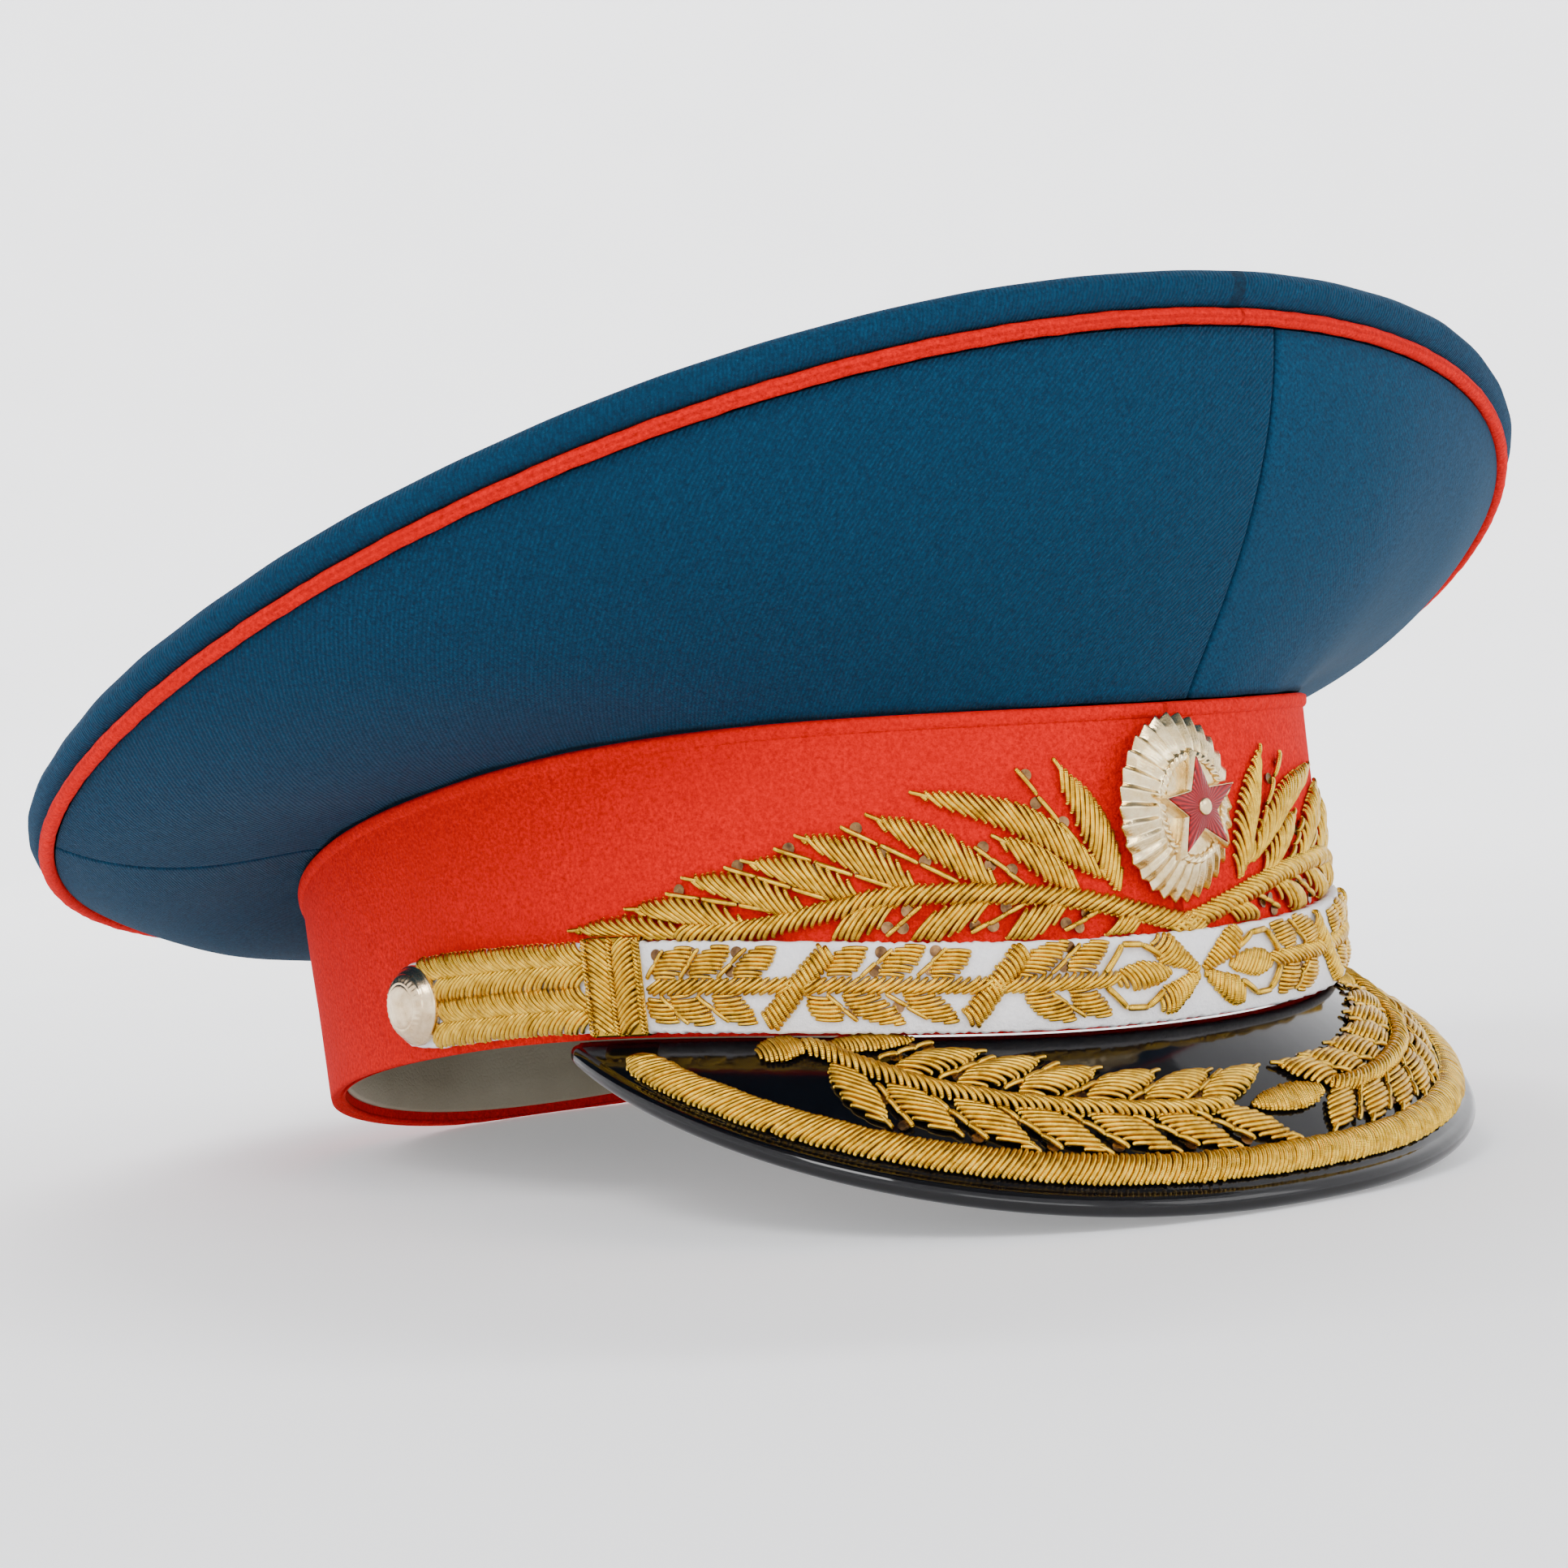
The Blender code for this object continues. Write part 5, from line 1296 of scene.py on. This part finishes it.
rise = (profile[:, 1:2] * ROSETTE_DOME + profile[:, 2:3] * (0.00085 * (pleat - 0.5) + grain)
        + profile[:, 3:4] * 0.00025 * np.sin(turn * 36 + profile[:, :1] * 60))
top = on_cockade(turn + 0 * radius, radius, rise)
under = on_cockade(turn + 0 * radius[-1:], radius[-1:] - 0.03, rise[-1:] * 0 + 0.0001)
rows = np.concatenate([under, top[::-1]])
poles = on_cockade(np.zeros(2), np.zeros(2), np.array([0.0001, 0.90 * ROSETTE_DOME]))
rosette = turned("cockade_rays", rows, poles, ROSETTE_GILT)
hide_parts("cockade_rosette")


# Star: a thick stamped star with wide bevelled sides, soldered on the cockade; its face is
# cut with fine rays under clear red enamel, and a plain gilt stud holds its middle.
STAR_RADIUS = 0.0102
STAR_THICKNESS = 0.0015
STAR_BEVEL = 0.0011
ENAMEL_THICKNESS = 0.0007
STAR_INNER = 0.42
STAR_SPLITS = 12
star_seat = ROSETTE_DOME * 0.84
star_face = ROSETTE_DOME * 0.94 + GAP + STAR_THICKNESS
spikes = math.pi / 2 + math.pi * np.arange(10) / 5
reaches = np.where(np.arange(10) % 2 == 0, 1.0, STAR_INNER)
corner_x, corner_y = np.cos(spikes) * reaches, np.sin(spikes) * reaches
split = np.arange(10 * STAR_SPLITS) / STAR_SPLITS
star_x = np.interp(split, np.arange(11), np.append(corner_x, corner_x[0]))
star_y = np.interp(split, np.arange(11), np.append(corner_y, corner_y[0]))


def star_ring(radius, rise):
    flat = stacked(star_x * radius, star_y * radius, 0 * star_x)
    return centre + across * flat[..., :1] + up * flat[..., 1:2] + out * rise


def star_piece(name, rings, first_rise, last_rise, finish, face_map=None):
    rows = np.stack([star_ring(radius, rise) for radius, rise in rings])
    poles = [centre + out * first_rise, centre + out * last_rise]
    made = turned(name, rows, poles, finish, face_map)
    made.data.set_sharp_from_angle(angle=math.radians(24))
    return made


inner_radius = STAR_RADIUS - 1.25 * STAR_BEVEL
star_rings = [(STAR_RADIUS * 0.98, star_seat), (STAR_RADIUS, star_seat + 0.0003),
              (STAR_RADIUS, star_face - 0.0009), (STAR_RADIUS - STAR_BEVEL, star_face),
              (inner_radius, star_face),
              (inner_radius - 0.0001, star_face - 0.0003)]
star = star_piece("cockade_star_frame", star_rings, star_seat, star_face - 0.0003, ROSETTE_GILT)
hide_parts("cockade_star")


def red_enamel():
    """Clear red glass over a face cut with fine rays from the middle."""
    glass = Shader("red_enamel", (0.34, 0.001, 0.010), 0.22)
    rays = glass.add("TexWave", {"bands_direction": "X"}, Vector=glass.place((1, 1, 1), "UV"), Scale=14.0,
                     Distortion=0.8, Detail=1.0).outputs["Fac"]
    depth = glass.noise(260, 2, 0.5)
    tone = glass.mix(rays, (0.09, 0.0001, 0.001), (0.45, 0.0005, 0.005))
    tone = glass.mix(glass.ramp(depth, 0.35, 0.7, 0.0, 0.5), tone, (0.16, 0.0002, 0.003))
    glass.set(glass.surface, Base_Color=tone, Metallic=0.10,
              Normal=glass.bump(rays, 0.00015, 0.6), Coat_Weight=0.2,
              Coat_Roughness=0.04, Specular_IOR_Level=0.25)
    return glass.material


enamel_rings = [(inner_radius - 0.00012, star_face - 0.0002), (inner_radius - 0.00012, star_face + 0.0001),
                (inner_radius - 0.0004, star_face + 0.0003), (inner_radius * 0.72, star_face + 0.00048),
                (inner_radius * 0.4, star_face + 0.0006), (inner_radius * 0.12, star_face + 0.00066)]
angle_map = np.arctan2(star_y, star_x) / (2 * math.pi)
ring_maps = [np.stack([angle_map, 0 * angle_map + radius * 100], -1) for radius, rise in enamel_rings]
enamel_map = np.concatenate(ring_maps + [np.zeros((2, 2))])
enamel = star_piece("cockade_enamel_glass", enamel_rings, star_face - 0.0002,
                    star_face + ENAMEL_THICKNESS, red_enamel(), enamel_map)
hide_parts("cockade_enamel")
STUD_RADIUS = 0.0015
turn = np.linspace(0, 2 * math.pi, 40, endpoint=False)
stud_rows = []
for radius, rise in ((1.0, 0.00045), (1.0, 0.0008), (0.86, 0.00102), (0.5, 0.0012), (0.15, 0.00126)):
    stud_rows.append(centre + out * (star_face + rise) + STUD_RADIUS * radius
                     * (np.cos(turn)[:, None] * across + np.sin(turn)[:, None] * up))
poles = [centre + out * (star_face + 0.00045), centre + out * (star_face + 0.00127)]
stud = turned("cockade_stud", np.stack(stud_rows), poles, ROSETTE_GILT)


# Studio: a pale floor that curves up all round into the backdrop, a soft key from the upper
# left, weaker panels from the right and in front, and one panel that lights the backdrop.
FLOOR_RADIUS = 1.5
FLOOR_CURVE = 0.9
WALL_TOP = 3.0
FLOOR_DROP = 0.0004
FLOOR_COLUMNS = 96


def pale_paper():
    paper = Shader("floor", (0.88, 0.88, 0.89), 0.8)
    mottle = paper.noise(9, 3, 0.5)
    tone = paper.mix(paper.ramp(mottle, 0.3, 0.7), (0.87, 0.87, 0.88), (0.90, 0.90, 0.91))
    paper.set(paper.surface, Base_Color=tone, Emission_Color=(1.0, 1.0, 1.0, 1.0), Emission_Strength=0.30,
              Specular_IOR_Level=0.1)
    return paper.material


climb = np.linspace(0, math.pi / 2, 16)
floor_rows = [(0.001, 0.0), (0.4, 0.0), (FLOOR_RADIUS, 0.0)]
floor_rows += [(FLOOR_RADIUS + FLOOR_CURVE * math.sin(a), FLOOR_CURVE * (1 - math.cos(a)))
               for a in climb[1:]]
floor_rows += [(FLOOR_RADIUS + FLOOR_CURVE, WALL_TOP)]
turn = np.linspace(0, 2 * math.pi, FLOOR_COLUMNS, endpoint=False)
floor_points = [(radius * math.cos(a), radius * math.sin(a), rise - FLOOR_DROP)
                for radius, rise in floor_rows for a in turn]
floor_mesh = bpy.data.meshes.new("floor")
floor_faces = grid_quads(len(floor_rows), FLOOR_COLUMNS, round_columns=True).tolist()
floor_mesh.from_pydata(floor_points, [], floor_faces + [list(range(FLOOR_COLUMNS))])
floor_mesh.shade_smooth()
floor_mesh.materials.append(pale_paper())
floor = bpy.data.objects.new("floor", floor_mesh)
bpy.context.collection.objects.link(floor)


def light_panel(name, place, aim, size, power):
    data = bpy.data.lights.new(name, "AREA")
    data.shape = "RECTANGLE"
    data.size, data.size_y = size
    data.energy = power
    lamp = bpy.data.objects.new(name, data)
    lamp.location = place
    lamp.rotation_euler = (Vector(aim) - Vector(place)).to_track_quat("-Z", "Y").to_euler()
    bpy.context.collection.objects.link(lamp)


light_panel("key", (-1.3, -0.8, 1.5), (0, 0, 0.08), (0.7, 0.7), 21)
light_panel("fill", (0.9, -1.6, 0.9), (0, 0, 0.08), (1.0, 0.8), 7)
light_panel("front", (-0.6, -1.5, 0.30), (0, 0, 0.05), (0.9, 0.35), 3.5)
light_panel("back", (0.3, 1.2, 1.5), (0, 0, 0.08), (1.2, 0.6), 8)
light_panel("backdrop", (0.5, 0.7, 1.9), (1.5, 1.9, 0.2), (1.2, 0.6), 55)
world = bpy.data.worlds.new("studio")
world.use_nodes = True
world.node_tree.nodes["Background"].inputs["Color"].default_value = (0.93, 0.95, 1.0, 1.0)
world.node_tree.nodes["Background"].inputs["Strength"].default_value = 0.3
bpy.context.scene.world = world
